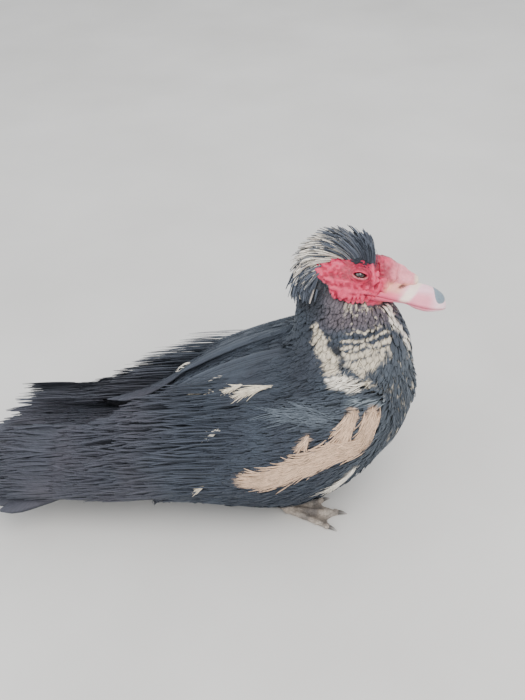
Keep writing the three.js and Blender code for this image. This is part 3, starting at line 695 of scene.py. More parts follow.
def plumage(p):
    """The plumage's colour at places on the body."""
    x, y, z = p[..., 0], p[..., 1], p[..., 2]
    cloud = noise(p, 26)
    colour = mix(SLATE, SLATE_BLUE, smooth(-0.5, 0.8, cloud)[..., None] * 0.6)
    front = smooth(20, 100, x) * smooth(40, 120, z) * smooth(270, 230, z)
    colour = over(colour, SHOULDER, front * (0.7 + 0.3 * cloud))
    # Painted shade: darker over the top of the back, where the light from above falls most.
    colour = colour * (1 - 0.3 * smooth(170, 235, z) * smooth(80, 0, x))[..., None]
    # Painted sheen: a lighter blue-grey patch on each shoulder.
    away = np.linalg.norm((mirrored(p) - [28, 92, 203]) / [48, 34, 20], axis=-1)
    painted_sheen = smooth(1.2, 0.3, away) * (0.6 + 0.4 * noise(p * [0.3, 1, 1], 2.5))
    colour = over(colour, SHOULDER_SHEEN_PAINT, painted_sheen)
    rear = smooth(-110, -200, x) * (0.7 + 0.3 * noise(p + 90, 30))
    colour = over(colour, SLATE_BROWN, rear)
    # Painted shade: darker towards the floor, under the body.
    colour = over(colour, BLACK, smooth(40, 5, z) * 0.5)
    throat = smooth(276, 292, z) * smooth(30, 60, x)
    colour = over(colour, NECK_BROWN, throat)
    speckle = noise(p * [1, 1, 0.35], 2.2) + 0.35 * smooth(296, 308, z)
    chin = throat * smooth(62, 80, x) * smooth(318, 312, z) * smooth(0.45, 0.65, speckle)
    colour = over(colour, CREAM * 0.85, chin)
    patch = np.hypot((x - 93) / 31, (z - 261) / 25) + 0.22 * noise(p, 7)
    bars = np.sin(0.76 * z - 0.05 * x + 1.6 * noise(p + 33, 10)) + 0.55 * noise(p + 7, 3.2)
    barred = smooth(1.05, 0.85, patch) * smooth(-0.25, 0.25, bars + mix(0.95, -0.75, smooth(246, 284, z)))
    colour = over(colour, CREAM, 0.95 * barred)
    nape = smooth(286, 306, z) * np.maximum(smooth(52, 34, x), smooth(322, 336, z))
    colour = over(colour, BLACK, nape)
    breast = smooth(110, 128, x) * smooth(262, 250, z) * smooth(0.62, 0.74, noise(p * [1, 1, 0.4] + 70, 5.0))
    colour = over(colour, CREAM, breast)
    colour = mark(colour, p, NECK_MARKS, 4.5)
    return mark(colour, p, FLANK_MARKS, 4.0)


# The bare skin's back edge: elevation round the head, x
BARE_EDGE = Profile([
    (-62, -4), (-50, -13), (-34, -20), (-24, -23), (-15, -38), (20, -43), (36, -38), (52, -26),
])
BARE_BELOW = -60


def bare(q):
    """How far a place in the head's frame lies inside the bare skin."""
    mid, tall, half = head_at(q[..., 0])
    e = np.degrees(np.arctan2((q[..., 2] - mid) / tall, np.abs(q[..., 1]) / half))
    (edge,) = BARE_EDGE(e)
    top = mix(49, 66, smooth(6, 20, q[..., 0]))
    inside = np.minimum(q[..., 0] - edge, 0.45 * np.minimum(top - e, e - BARE_BELOW))
    inside = np.where(q[..., 0] > 26, np.maximum(inside, q[..., 0] - 27), inside)
    return np.minimum(inside, 4.5 - head_plain(q))


def face(q, bulge):
    """Colours of the bare skin, with painted shade in its creases and a painted highlight on its bulges."""
    x, z = q[..., 0], q[..., 2]
    patchy = noise(q, 9)
    colour = over(FACE_RED, FACE_PINK, 0.3 * smooth(-0.4, 0.9, patchy) + 0.12 * smooth(4, 22, z))
    pale = smooth(34, 62, x) * smooth(-14, 6, z)
    colour = over(colour, KNOB_PINK, 0.9 * pale)
    tip = smooth(9.5, 3.5, np.linalg.norm((q - [80.5, -3, 11.5]) * [1, 0.7, 1], axis=-1) + noise(q, 4))
    colour = over(colour, KNOB_PALE, tip)
    yellow = smooth(38, 50, x) * smooth(9, 2, z) * smooth(-0.9, 0.2, patchy)
    colour = over(colour, YELLOW_SKIN, 0.85 * yellow)
    # Painted shade: a deep red in the creases, less on the pale knob.
    crease_shade = smooth(0.6, -0.5, bulge)
    colour = over(colour, FACE_CREASE_SHADE, 0.7 * crease_shade * (1 - 0.8 * pale))
    # Painted highlight: a lighter pink on the raised bulges.
    raised_highlight = smooth(0.5, 1.6, bulge)
    colour = over(colour, FACE_PINK * 1.15, 0.35 * raised_highlight)
    rim = smooth(2.2, 0.6, lid_distance(q)) * smooth(8, 4, z)
    return over(colour, LID_RIM, 0.55 * rim)


def lid_distance(q):
    q = folded(q)
    return np.abs(ball(q, EYE_AT + [0, LID_OUT, 0], LID_OPENING)) + 40 * (q[..., 1] < 12)


# Materials

class Nodes:
    """Short names for making a material's nodes."""

    def __init__(self, name):
        self.material = bpy.data.materials.new(name)
        self.material.use_nodes = True
        self.tree = self.material.node_tree
        self.surface = self.tree.nodes["Principled BSDF"]

    def add(self, kind, **settings):
        node = self.tree.nodes.new(kind)
        for key, value in settings.items():
            setattr(node, key, value)
        return node

    def join(self, source, target):
        self.tree.links.new(source, target)

    def feed(self, target, value):
        if isinstance(value, bpy.types.NodeSocket):
            self.join(value, target)
        else:
            target.default_value = value

    def sum(self, operation, a, b=0.0, c=0.0):
        node = self.add("ShaderNodeMath", operation=operation)
        for socket, value in zip(node.inputs, (a, b, c)):
            self.feed(socket, value)
        return node.outputs[0]

    def noise(self, vector, scale, detail=2.0, distortion=0.0):
        node = self.add("ShaderNodeTexNoise")
        for key, entry in (("Scale", scale), ("Detail", detail), ("Distortion", distortion)):
            node.inputs[key].default_value = entry
        self.feed(node.inputs["Vector"], vector)
        return node.outputs["Fac"]

    def cells(self, vector, feature, scale):
        node = self.add("ShaderNodeTexVoronoi", feature=feature)
        node.inputs["Scale"].default_value = scale
        self.join(vector, node.inputs["Vector"])
        return node.outputs["Distance"]

    def place(self, x, y, z):
        node = self.add("ShaderNodeCombineXYZ")
        for socket, value in zip(node.inputs, (x, y, z)):
            self.feed(socket, value)
        return node.outputs[0]

    def spread(self, value, low, high, to_low=0.0, to_high=1.0):
        node = self.add("ShaderNodeMapRange")
        for key, entry in zip(("From Min", "From Max", "To Min", "To Max"), (low, high, to_low, to_high)):
            node.inputs[key].default_value = entry
        self.feed(node.inputs["Value"], value)
        return node.outputs[0]

    def mix(self, share, a, b):
        node = self.add("ShaderNodeMix", data_type="RGBA")
        self.feed(node.inputs["Factor"], share)
        colours = [socket for socket in node.inputs if socket.type == "RGBA"]
        self.feed(colours[0], a)
        self.feed(colours[1], b)
        return [socket for socket in node.outputs if socket.type == "RGBA"][0]

    def where(self):
        return self.add("ShaderNodeNewGeometry").outputs["Position"]

    def to_surface(self, name, value):
        self.feed(self.surface.inputs[name], value)

    def shade(self, amount):
        """The surface takes the tint stored on its mesh, times an amount."""
        scaled = self.add("ShaderNodeVectorMath", operation="SCALE")
        self.join(self.add("ShaderNodeAttribute", attribute_name="Tint").outputs["Color"], scaled.inputs[0])
        self.join(amount, scaled.inputs["Scale"])
        self.to_surface("Base Color", scaled.outputs[0])

    def bump(self, height, distance, strength):
        node = self.add("ShaderNodeBump")
        node.inputs["Strength"].default_value = strength
        node.inputs["Distance"].default_value = distance
        self.join(height, node.inputs["Height"])
        self.to_surface("Normal", node.outputs[0])

    def rough(self, value, low, high):
        self.to_surface("Roughness", self.spread(value, 0.3, 0.7, low, high))

    def set(self, **values):
        for key, value in values.items():
            self.to_surface(key.replace("_", " "), value)


def feather_material(name, roughness, specular, barb, streak):
    """Vanes with slanted barbs, a rachis and streaks where barbs cling together."""
    m = Nodes(name)
    uv = m.add("ShaderNodeUVMap", uv_map="Vane")
    parts = m.add("ShaderNodeSeparateXYZ")
    m.join(uv.outputs[0], parts.inputs[0])
    across, along = parts.outputs[0], parts.outputs[1]
    aside = m.sum("ABSOLUTE", across)
    slant = m.sum("MULTIPLY_ADD", aside, -1.5, along)
    side = m.sum("MULTIPLY", across, 0.15)
    offset = m.noise(m.where(), 35.0, 0.0)
    loose = m.noise(m.place(m.sum("MULTIPLY", slant, 0.55), side, m.sum("MULTIPLY", offset, 6.0)), 1.0, 3.0)
    fine = m.sum("SINE", m.sum("MULTIPLY", slant, 6.283 / barb))
    rachis = m.spread(aside, 0.15, 0.5, 1.0, 0.0)
    clinging = m.spread(loose, 0.3, 0.7, 1 - streak * 0.55, 1 + streak * 0.55)
    m.shade(m.sum("MULTIPLY_ADD", rachis, 0.35, clinging))
    height = m.sum("ADD", m.sum("MULTIPLY", fine, 0.12), m.sum("MULTIPLY", loose, 0.8))
    m.bump(m.sum("MULTIPLY_ADD", rachis, 0.5, height), 0.0005, 0.7)
    m.rough(loose, roughness - 0.08, roughness + 0.1)
    m.set(Specular_IOR_Level=specular, Sheen_Weight=0.12, Sheen_Roughness=0.45)
    m.set(Sheen_Tint=(0.75, 0.88, 1.0, 1.0))
    return m.material


def skin_material(name):
    """Bare skin with pores and fine folds; under the coat its stored tint is darker, a painted shade."""
    m = Nodes(name)
    fine = m.noise(m.where(), 900.0, 3.0)
    coarse = m.noise(m.where(), 260.0, 3.0, 0.4)
    m.shade(m.sum("MULTIPLY_ADD", coarse, 0.5, 0.75))
    height = m.sum("ADD", coarse, m.sum("MULTIPLY", fine, 0.35))
    m.bump(m.sum("MULTIPLY_ADD", m.cells(m.where(), "F1", 620.0), -0.5, height), 0.0006, 0.8)
    m.rough(coarse, 0.34, 0.52)
    m.set(Specular_IOR_Level=0.5, Subsurface_Weight=0.12, Subsurface_Scale=0.004)
    m.set(Subsurface_Radius=(1.0, 0.35, 0.25))
    return m.material


def horn_material(name, roughness, scale):
    """Bill, nail and claws: tinted by place, with growth lines and scratches."""
    m = Nodes(name)
    stretch = m.add("ShaderNodeMapping")
    stretch.inputs["Scale"].default_value = (0.35, 1.0, 1.0)
    m.join(m.where(), stretch.inputs["Vector"])
    growth = m.noise(stretch.outputs[0], scale, 4.0, 0.3)
    m.shade(m.sum("MULTIPLY_ADD", growth, 0.3, 0.85))
    m.bump(m.sum("MULTIPLY_ADD", m.noise(m.where(), scale * 5), 0.3, growth), 0.0003, 0.6)
    m.rough(growth, roughness - 0.06, roughness + 0.12)
    m.set(Specular_IOR_Level=0.5, Subsurface_Weight=0.06, Subsurface_Scale=0.003)
    return m.material


def foot_material(name):
    """Scaly skin: plates of a few millimetres, darker in the grooves between them."""
    m = Nodes(name)
    edge = m.spread(m.cells(m.where(), "DISTANCE_TO_EDGE", 330.0), 0.0, 0.12)
    coarse = m.noise(m.where(), 90.0, 4.0)
    m.shade(m.sum("MULTIPLY", m.spread(edge, 0, 1, 0.62, 1.0), m.spread(coarse, 0.3, 0.7, 0.8, 1.2)))
    m.bump(m.sum("MULTIPLY_ADD", coarse, 0.4, edge), 0.0005, 0.8)
    m.rough(coarse, 0.5, 0.75)
    return m.material


def eye_material(name):
    """A wet eye with threads in its iris."""
    m = Nodes(name)
    m.shade(m.spread(m.noise(m.where(), 1500.0), 0.3, 0.7, 0.7, 1.3))
    m.set(Roughness=0.08, Coat_Weight=1.0, Coat_Roughness=0.03, Specular_IOR_Level=0.6)
    return m.material


FEATHER = feather_material("plumage", 0.62, 0.28, 1.1, 0.4)
FLIGHT = feather_material("flight_feathers", 0.58, 0.3, 1.3, 0.5)
HAIRY = feather_material("loose_feathers", 0.65, 0.25, 0.9, 0.5)
SKIN = skin_material("face_skin")
BILL_HORN = horn_material("bill_skin", 0.36, 260.0)
NAIL_HORN = horn_material("nail_horn", 0.3, 420.0)
CLAW_HORN = horn_material("claw_horn", 0.42, 500.0)
FOOT_SCALES = foot_material("foot_skin")
EYE_WET = eye_material("eye")


# The skin

def lines(*ranges):
    return np.concatenate([np.arange(a, b, step) for a, b, step in ranges])


def level_mesh(level, xs, ys, zs):
    """The surface where a level is 0, from a grid that is fine only where its lines are close."""
    values = np.empty((len(xs), len(ys), len(zs)), np.float32)
    slab = 6
    for i in range(0, len(xs), slab):
        grid = np.stack(np.meshgrid(xs[i:i + slab], ys, zs, indexing="ij"), -1)
        values[i:i + slab] = level(grid)
    field = openvdb.FloatGrid(50.0)
    field.copyFromArray(values)
    points, quads = field.convertToQuads(isovalue=0.0)
    places = [np.interp(points[:, k], np.arange(len(axis)), axis) for k, axis in enumerate((xs, ys, zs))]
    return np.stack(places, -1), quads.astype(np.int64)


def outward(points, quads):
    """Quads turned so that the surface faces out."""
    a, b, c, d = (points[quads[:, k]] for k in range(4))
    volume = ((a - points.mean(0)) * np.cross(c - a, d - b)).sum()
    return quads if volume > 0 else quads[:, ::-1]


def one_surface(points, quads):
    """The largest connected part of a surface."""
    root = np.arange(len(points))
    while True:
        low_root = root.copy()
        for k in range(4):
            np.minimum.at(low_root, quads[:, k], root[quads].min(1))
        low_root = low_root[low_root]
        if (low_root == root).all():
            break
        root = low_root
    values, counts = np.unique(root, return_counts=True)
    keep = root == values[counts.argmax()]
    index = np.cumsum(keep) - 1
    return points[keep], index[quads[keep[quads].all(1)]]


def rump(p):
    return ball(p, *RUMP)


def whole_skin(p):
    return blend(skin_level(p), rump(p), 14)


def make_skin():
    xs = lines((-290, -60, 6), (-60, 10, 4), (10, 162, 1.0), (162, 180, 5))
    ys = lines((-134, -50, 5), (-50, 50, 1.0), (50, 136, 5))
    zs = lines((-9, 270, 5), (270, 394, 1.0))
    points, quads = one_surface(*level_mesh(whole_skin, xs, ys, zs))
    points, _ = settle(whole_skin, points, 0.0, 2)
    return points, outward(points, quads)


def bare_at(p):
    q = to_head(p)
    return np.where(np.abs(q - HEAD_MIDDLE).max(-1) > 90, -50.0, bare(q))


skin_points, skin_quads = make_skin()
skin_q = to_head(skin_points)
skin_bare = bare_at(skin_points)
near_head = skin_bare > -12
bulge = np.zeros(len(skin_points))
bulge[near_head] = head_plain(skin_q[near_head])
# Under the coat the skin takes the plumage's colour at 0.8, a painted shade between the feathers.
skin_colour = plumage(skin_points) * 0.8
shown = smooth(-1.5, 1.5, skin_bare + 1.2 * noise(skin_q, 3))[:, None]
face_colour = face(skin_q[near_head], bulge[near_head])
skin_colour[near_head] = mix(skin_colour[near_head], face_colour, shown[near_head])
skin = mesh_object("skin", skin_points, [skin_quads], SKIN)
tint(skin, skin_colour)
dress(skin, "face_skin", "torso", "neck", "head")


# Places for feathers all over the skin

def scatter(count):
    """Random places on the skin outside the bare face."""
    corners = skin_points[skin_quads]
    area = np.linalg.norm(np.cross(corners[:, 2] - corners[:, 0], corners[:, 3] - corners[:, 1]), axis=-1) / 2
    pick = rng.choice(len(skin_quads), count, p=area / area.sum())
    s, t = rng.random((2, count, 1))
    c = corners[pick]
    return mix(mix(c[:, 0], c[:, 1], s), mix(c[:, 3], c[:, 2], s), t)


PLACES = scatter(170000)
PLACES = PLACES[bare_at(PLACES) < -0.5]


def coat_form(p):
    """The outline that the tips of the coat reach."""
    q = to_head(p)
    level = blend(body_form(p), wing_flesh(p) - WING_DEPTH, 8)
    level = blend(level, rump(p) - 4, 14)
    return blend(level, head_plain(q), 6)


def lie(p):
    """The way the feathers point: back along the trunk, down the neck, back round the head."""
    down = smooth(205, 262, p[:, 2])[:, None]
    way = mix(np.array([-1, 0, -0.16]), np.array([-0.42, 0, -1]), down)
    front = smooth(96, 150, p[:, 0])[:, None] * smooth(60, 150, p[:, 2])[:, None]
    way = mix(way, np.array([-0.3, 0, -1]), front * 0.9)
    q = to_head(p)
    on_head = smooth(-34, -4, -np.abs(q[:, 0] + 14)) * smooth(-16, -2, q[:, 2])
    return mix(way, np.array([-1, 0, 0.05]), on_head[:, None])


TRUNK_START = -430
TRUNK_LONG = 620
NECK_START = 100
NECK_TALL = 300


def wrap(round_it, along):
    """Map places from an angle and a share of the length."""
    return np.stack([0.5 + 0.48 * round_it / math.pi, np.clip(along, 0.01, 0.99)], -1)


def body_unwrap(p):
    """A place round and along the trunk."""
    top, bottom, half = torso_at(p[:, 0])
    round_it = np.arctan2(p[:, 1] / half, -(p[:, 2] - (top + bottom) / 2) / (top - bottom) * 2)
    return wrap(round_it, (p[:, 0] - TRUNK_START) / TRUNK_LONG)


def neck_unwrap(p):
    """A place round and up the neck."""
    x, _, _ = neck_at(p[:, 2])
    return wrap(np.arctan2(p[:, 1], p[:, 0] - x), (p[:, 2] - NECK_START) / NECK_TALL)


def each(value, places):
    """A value for each place, from a number or a function of the places."""
    return value(places) if callable(value) else np.full(len(places), float(value))


def feathers_on(
        name, places, spacing, length, width, shape, heights, unwrap=body_unwrap, material=FEATHER, across=3,
        proud=0.2, thick=0.45, wander=5.5, shade=0.08, camber=0.1, roll=0.09):
    """A coat of vanes over part of the skin. shape and heights: width and height at each station."""
    kept = thin_out(places, each(spacing, places))
    roots = places[kept]
    count = len(roots)
    long = each(length, roots) * (1 + 0.12 * rng.standard_normal(count)).clip(0.7, 1.35)
    wide = each(width, roots) * (1 + 0.10 * rng.standard_normal(count)).clip(0.7, 1.3)
    normal = settle(coat_form, roots, 0.0, 1)[1]
    way = strayed(flat_to(lie(roots), normal), normal, wander)
    low = np.clip(coat_form(roots), -COAT, 0.5)
    rise = np.array(heights)
    lift = low[:, None] * (1 - rise) + proud * rise + 0.4 * rng.standard_normal((count, 1)) * rise
    paths, normals = lay(coat_form, roots, way, long, lift, 0.18 * rng.standard_normal((count, 1)))
    lean = roll * rng.standard_normal((count, 1, 1))
    normals = unit(normals + lean * np.cross(normals, np.gradient(paths, axis=1)) / 8)
    widths = wide[:, None] * np.array(shape)
    a = np.linspace(-1, 1, across)
    aside = unit(np.cross(np.gradient(paths, axis=1), normals))[:, :, None]
    aside = aside * (widths[..., None] / 2 * a)[..., None]
    ink = plumage(paths[:, :, None] + aside + 0.8 * rng.standard_normal((count, 1, 1, 3)))
    own = (1 + shade * rng.standard_normal((count, 1, 1, 1))).clip(0.6, 1.5)
    edge = 0.97 + 0.08 * np.abs(a)[None, None, :, None]
    dress(vanes(name, paths, normals, widths, thick, ink * own * edge, unwrap(roots), material, camber))


ROUND = (0.5, 0.85, 1.0, 0.96, 0.74, 0.3), (0.1, 0.34, 0.58, 0.78, 0.93, 1.03)
SOFT = (0.6, 0.9, 1.0, 1.0, 0.96, 0.82, 0.5), (0.2, 0.5, 0.72, 0.87, 0.96, 1.0, 1.0)
HAIR = (0.7, 1.0, 0.95, 0.7, 0.2), (0.75, 0.97, 1.02, 1.05, 1.05)


def down_neck(low, high):
    """A size that grows from the head down the neck."""
    return lambda p: mix(low, high, smooth(300, 250, p[:, 2]))


def along_wing(low, high):
    """A size that grows from the shoulder to the rear."""
    return lambda p: mix(low, high, smooth(60, -60, p[:, 0]))


def body_length(p):
    return mix(mix(26, 40, smooth(90, 0, p[:, 0])), 52, smooth(-60, -200, p[:, 0]))


def barb_length(p):
    return 0.8 * body_length(p)


def make_coat():
    x, y, z = PLACES.T
    neckish = (z > 232) & (x > 0) | (z > 262)
    breast = (x > 96) & ~neckish
    wing = (cloak_form(PLACES) > -WING_DEPTH - 9) & (wing_flesh(PLACES) < 7) & ~neckish & ~breast
    under = (z < 60) & ~wing & ~breast
    rest = ~neckish & ~breast & ~wing & ~under
    feathers_on(
        "neck_feathers", PLACES[neckish], down_neck(2.6, 4.4), down_neck(10, 19), down_neck(4.4, 9.0), *SOFT,
        neck_unwrap, across=5, proud=0.1, thick=0.3, wander=6, camber=0.05, roll=0.03)
    feathers_on("breast_feathers", PLACES[breast], 4.2, 23, 7, *ROUND, neck_unwrap, proud=0.1, roll=0.05)
    for side, label in SIDES:
        feathers_on(
            f"wing_coverts_{label}", PLACES[wing & (side * y > 0)], along_wing(4.4, 6.2), body_length,
            along_wing(7, 10), *ROUND)
    feathers_on("back_feathers", PLACES[rest], 5.6, body_length, 9.5, *ROUND)
    feathers_on("belly_feathers", PLACES[under & (z > -3)], 7.5, 34, 13, *ROUND, proud=0.0)
    # Thin, parted tips over the coat, where the barbs cling into hairs
    trunk = (z < 250) & (z > 30) & (x < 140)
    feathers_on(
        "loose_barbs", PLACES[trunk], 5.2, barb_length, 1.3, *HAIR, material=HAIRY, proud=0.5, thick=0.3,
        wander=6, shade=0.1)


def on_line(line, count, radius, margin):
    """Random places round a line of segments, clear of its ends by a margin, and the way along it."""
    long = np.linalg.norm(np.diff(line, axis=0), axis=1)
    ends = np.concatenate([[0], np.cumsum(long)])
    margin = min(margin, 0.45 * ends[-1])
    at = rng.uniform(margin, ends[-1] - margin, count)
    behind, centre, ahead = (
        np.stack([np.interp(at + step, ends, line[:, k]) for k in range(3)], -1) for step in (-6, 0, 6))
    aside = rng.standard_normal((count, 3)) * radius * 0.45
    way = unit(ahead - behind)
    return centre + aside, way * np.where(way[:, :1] > 0.3, -1, 1)


def strands(name, marks, crowd, width, wander, height=0.0):
    """Long hairs along lines over the coat, a little different on each side. A line with its places on
    the right lies on the right side only."""
    roots, ways, sizes, inks = [], [], [], []
    for ink, radius, line in marks:
        line = np.array(line, float)
        right_only = line[0, 1] < 0
        line = folded(line)
        long = np.linalg.norm(np.diff(line, axis=0), axis=1).sum()
        count = max(int(long * radius * crowd), 7)
        size = min(30, 0.6 * long + 2 * radius)
        for side in ((-1,) if right_only else (-1, 1)):
            place, way = on_line(line, count, radius, 0.45 * size)
            place = place - 0.5 * size * way + 2.0 * (side > 0) * rng.standard_normal()
            roots.append(place * [1, side, 1])
            ways.append(way * [1, side, 1])
            sizes.append(np.full(count, size))
            inks.append(np.tile(ink, (count, 1)))
    roots, ways, sizes, inks = (np.concatenate(part) for part in (roots, ways, sizes, inks))
    count = len(roots)
    roots, normal = settle(coat_form, roots, 0.0, 3)
    way = strayed(flat_to(ways, normal), normal, wander)
    long = sizes * (1 + 0.25 * rng.standard_normal(count)).clip(0.5, 1.6)
    rise = height + np.array([-1.5, 0.9, 1.5, 1.6, 1.2, 0.8])[None] + 0.4 * rng.standard_normal((count, 1))
    paths, normals = lay(coat_form, roots, way, long, rise, 0.25 * rng.standard_normal((count, 1)))
    own = 1 + 0.09 * rng.standard_normal((count, 1, 1))
    # Painted shade: darker towards the root, lighter towards the tip.
    ink = inks[:, None] * own * np.linspace(0.88, 1.08, 6)[None, :, None]
    widths = np.full((count, 1), width) * [0.6, 1.0, 1.0, 0.85, 0.6, 0.2]
    paint = np.repeat(ink[:, :, None], 3, 2)
    dress(vanes(name, paths, normals, widths, 0.35, paint, body_unwrap(roots), HAIRY))


# Wings

TIERS = {  # count; root and tip as x and elevation, low to high; width, lift, shape
    "median": (19, (8, 14), (-31, 52), (-66, -62), (-32, 55), 18, (-6.5, -0.8), "covert"),
    "greater": (24, (-54, -50), (-29, 56), (-140, -138), (-25, 54), 16, (-8.0, -0.6), "covert"),
    "primaries": (12, (-118, -118), (-20, 12), (-344, -286), (-5, 42), 17, (-12, -4), "flight"),
    "secondaries": (18, (-104, -104), (10, 46), (-262, -236), (16, 54), 16, (-9.5, -0.5), "flight"),
    "tertials": (12, (-84, -76), (50, 72), (-206, -234), (50, 80), 15, (-7, 1.5), "flight"),
    "scapulars": (18, (42, 50), (54, 80), (-90, -132), (56, 84), 12, (-5, 1.8), "covert"),
}
SHAPES = {  # share of the length, share of the width
    "flight": np.array([(0, 0.5), (0.3, 0.92), (0.6, 1.0), (0.85, 0.85), (0.95, 0.55), (1, 0.14)]),
    "covert": np.array([(0, 0.6), (0.4, 0.95), (0.65, 1.0), (0.86, 0.86), (0.96, 0.5), (1, 0.16)]),
}
LONG_WAY = np.linspace(0, 1, 15)  # stations along a flight feather


def cloak_point(x, e, side, lift):
    top, bottom, half = cloak_at(x)
    a = np.radians(e)
    z = (top + bottom) / 2 + ((top - bottom) / 2 + lift) * np.sin(a)
    return np.stack([x, side * (half + lift) * np.cos(a), z], -1)


def stiff_vanes(name, paths, normals, widths, vary, *nodes):
    paths, normals = np.array(paths), np.array(normals)
    ink = plumage(paths) * (1 + vary * rng.standard_normal((len(paths), 1, 1)))
    a = np.linspace(-1, 1, 7)[None, None, :, None]
    # Painted shade: darker towards the vanes' edges.
    paint = ink[:, :, None] * (1.02 - 0.1 * np.abs(a) ** 3)
    places = body_unwrap(paths[:, 0])
    dress(vanes(name, paths, normals, np.array(widths), 0.8, paint, places, FLIGHT, 0.14), "plumage", *nodes)


def make_wing(side, label):
    s = LONG_WAY
    paths, normals, widths = [], [], []
    for count, root_x, root_e, tip_x, tip_e, width, lift, shape in TIERS.values():
        share = np.interp(s, *SHAPES[shape].T)
        for k in range(count):
            f = k / (count - 1)
            reach = mix(*tip_x, f) + 7 * rng.standard_normal()
            x = mix(mix(*root_x, f), reach, s)
            e = mix(mix(*root_e, f), mix(*tip_e, f) + 0.8 * rng.standard_normal(), s)
            rise = mix(*lift, 1 - (1 - s) ** 2) + 0.4 * rng.standard_normal()
            path = cloak_point(x, e, side, rise)
            out = cloak_point(x, e, side, rise + 1) - path
            up = cloak_point(x, e + 1, side, rise) - path
            paths.append(path)
            normals.append(unit(unit(out) + 0.16 * unit(up)))
            widths.append(width * (1 + 0.05 * rng.standard_normal()) * share)
    stiff_vanes(f"flight_feathers_{label}", paths, normals, widths, 0.08, f"wing_{label}")


# Tail

TAIL_LINE = Profile([(40, 88), (75, 84), (120, 77), (160, 71), (220, 66), (275, 62)])
FAN_X = -150
PLUMES_END = -424
TAIL_ROWS = [  # count, spread in degrees, root, tip, width, lift at both ends, how much shorter outside
    (18, 25, 62, 275, 32, (0, 0), 36),
    (15, 21, 60, 196, 24, (2, 4.0), 18),
    (13, 18, 56, 150, 22, (4, 8.0), 14),
    (11, 16, 46, 118, 20, (6, 11), 12),
    (11, 18, 60, 172, 26, (-8, -13), 18),
]


def make_tail():
    s = LONG_WAY
    paths, normals, widths = [], [], []
    share = np.interp(s, *SHAPES["flight"].T)
    for count, spread, start, end, width, lift, shorter in TAIL_ROWS:
        for k in range(count):
            place = 2 * k / (count - 1) - 1
            turn = math.radians(spread * place + 1.2 * rng.standard_normal())
            layer = 1.1 * abs(place) * (count - 1) / 2
            to = end - shorter * abs(place) ** 1.7 + 5 * rng.standard_normal()
            r = mix(start, to, s)
            (z,) = TAIL_LINE(r)
            (ahead,) = TAIL_LINE(r + 1)
            z_path = z - layer + mix(*lift, s) + 0.7 * rng.standard_normal() * s
            path = np.stack([FAN_X - r * math.cos(turn), r * math.sin(turn), z_path], -1)
            fall = ahead - z
            normal = np.stack([fall * math.cos(turn), -fall * math.sin(turn), 1 + 0 * z], -1)
            tilt = np.array([0, 0.12 * np.sign(place), 0])
            paths.append(path)
            normals.append(unit(normal + tilt))
            widths.append(width * (1 + 0.06 * rng.standard_normal()) * share)
    stiff_vanes("tail_feathers", paths, normals, widths, 0.1, "tail")


def make_plumes(side, label):
    """Ragged, parted plumes over one folded wing's end and its half of the tail."""
    count = 3100
    on_wing = rng.random(count) < 0.58
    x = np.where(on_wing, mix(-40, -300, rng.random(count) ** 0.6), rng.uniform(-345, -170, count))
    e = rng.uniform(-12, 74, count)
    wing_root = cloak_point(x, e, side, rng.uniform(-4, 1, count) - 0.02 * np.maximum(-150 - x, 0))
    r = FAN_X - x
    (z,) = TAIL_LINE(r)
    turn = side * np.radians(rng.uniform(0, 33, count))
    across = np.clip(r * np.sin(turn), -88, 88)
    over = rng.random(count)
    tail_root = np.stack([FAN_X - r * np.cos(turn), across, z + 2 + (4 + 0.1 * np.abs(across)) * over], -1)
    roots = np.where(on_wing[:, None], wing_root, tail_root)
    axis = np.stack([0 * x, roots[:, 1] * 1.1, roots[:, 2] - 70], -1)
    normal = unit(np.where(on_wing[:, None], axis, [0, 0, 1.0]))
    stray = rng.standard_normal((2, count))
    way = flat_to(np.stack([-np.ones(count), 0.04 * stray[0], 0.03 * stray[1]], -1), normal)
    stations = 7
    s = np.linspace(0, 1, stations)
    long = rng.uniform(34, 74, count)
    room = (roots[:, 0] - PLUMES_END) / np.maximum(-way[:, 0], 0.3)
    long = np.minimum(long, np.maximum(room, 12))
    bend = 0.05 * rng.standard_normal((count, 1, 1)) * np.cross(normal, way)[:, None]
    arch = 0.004 + 0.003 * np.abs(rng.standard_normal((count, 1, 1)))
    along = (way[:, None] * s[:, None] + bend * (s**2)[:, None]) * long[:, None, None]
    lift = normal[:, None] * (4 * arch * (s * (1 - s))[:, None]) * long[:, None, None]
    sag = np.array([0, 0, -0.04]) * (s**2)[:, None] * long[:, None, None]
    paths = roots[:, None] + along + lift + sag
    normals = np.repeat(normal[:, None], stations, 1)
    ink = plumage(paths) * (1 + 0.05 * rng.standard_normal((count, 1, 1))).clip(0.8, 1.2)
    broad = rng.uniform(2.2, 6.0, count) * mix(0.4, 1.0, smooth(-50, -150, x))
    widths = broad[:, None] * [0.5, 0.9, 1.0, 1.0, 0.9, 0.7, 0.25]
    paint = np.repeat(ink[:, :, None], 3, 2)
    dress(vanes(f"rear_plumes_{label}", paths, normals, widths, 0.3, paint, body_unwrap(roots), HAIRY))


# Crest

# Share of the way from brow to nape: degrees along the crown, lean of root and tip, length
CREST_LINE = Profile([
    (0, 30, 76, 0, 25), (0.1, 41, 68, -3, 29), (0.25, 66, 47, -4, 35), (0.5, 100, 27, -8, 40),
    (0.75, 130, 14, -16, 38), (0.88, 150, 16, -20, 40), (1, 174, 24, -20, 40),
])
CROWN_AT = np.array([-6.0, 0, 2])
CROWN_RADII = np.array([41.0, 24, 29])


def crown(along, across):
    a, b = np.radians(along), np.radians(across)
    out = np.stack([np.cos(a) * np.cos(b), np.sin(b), np.sin(a) * np.cos(b)], -1)
    back = np.stack([-np.sin(a), 0 * a, np.cos(a)], -1)
    return out * CROWN_RADII + CROWN_AT, unit(out / CROWN_RADII), back


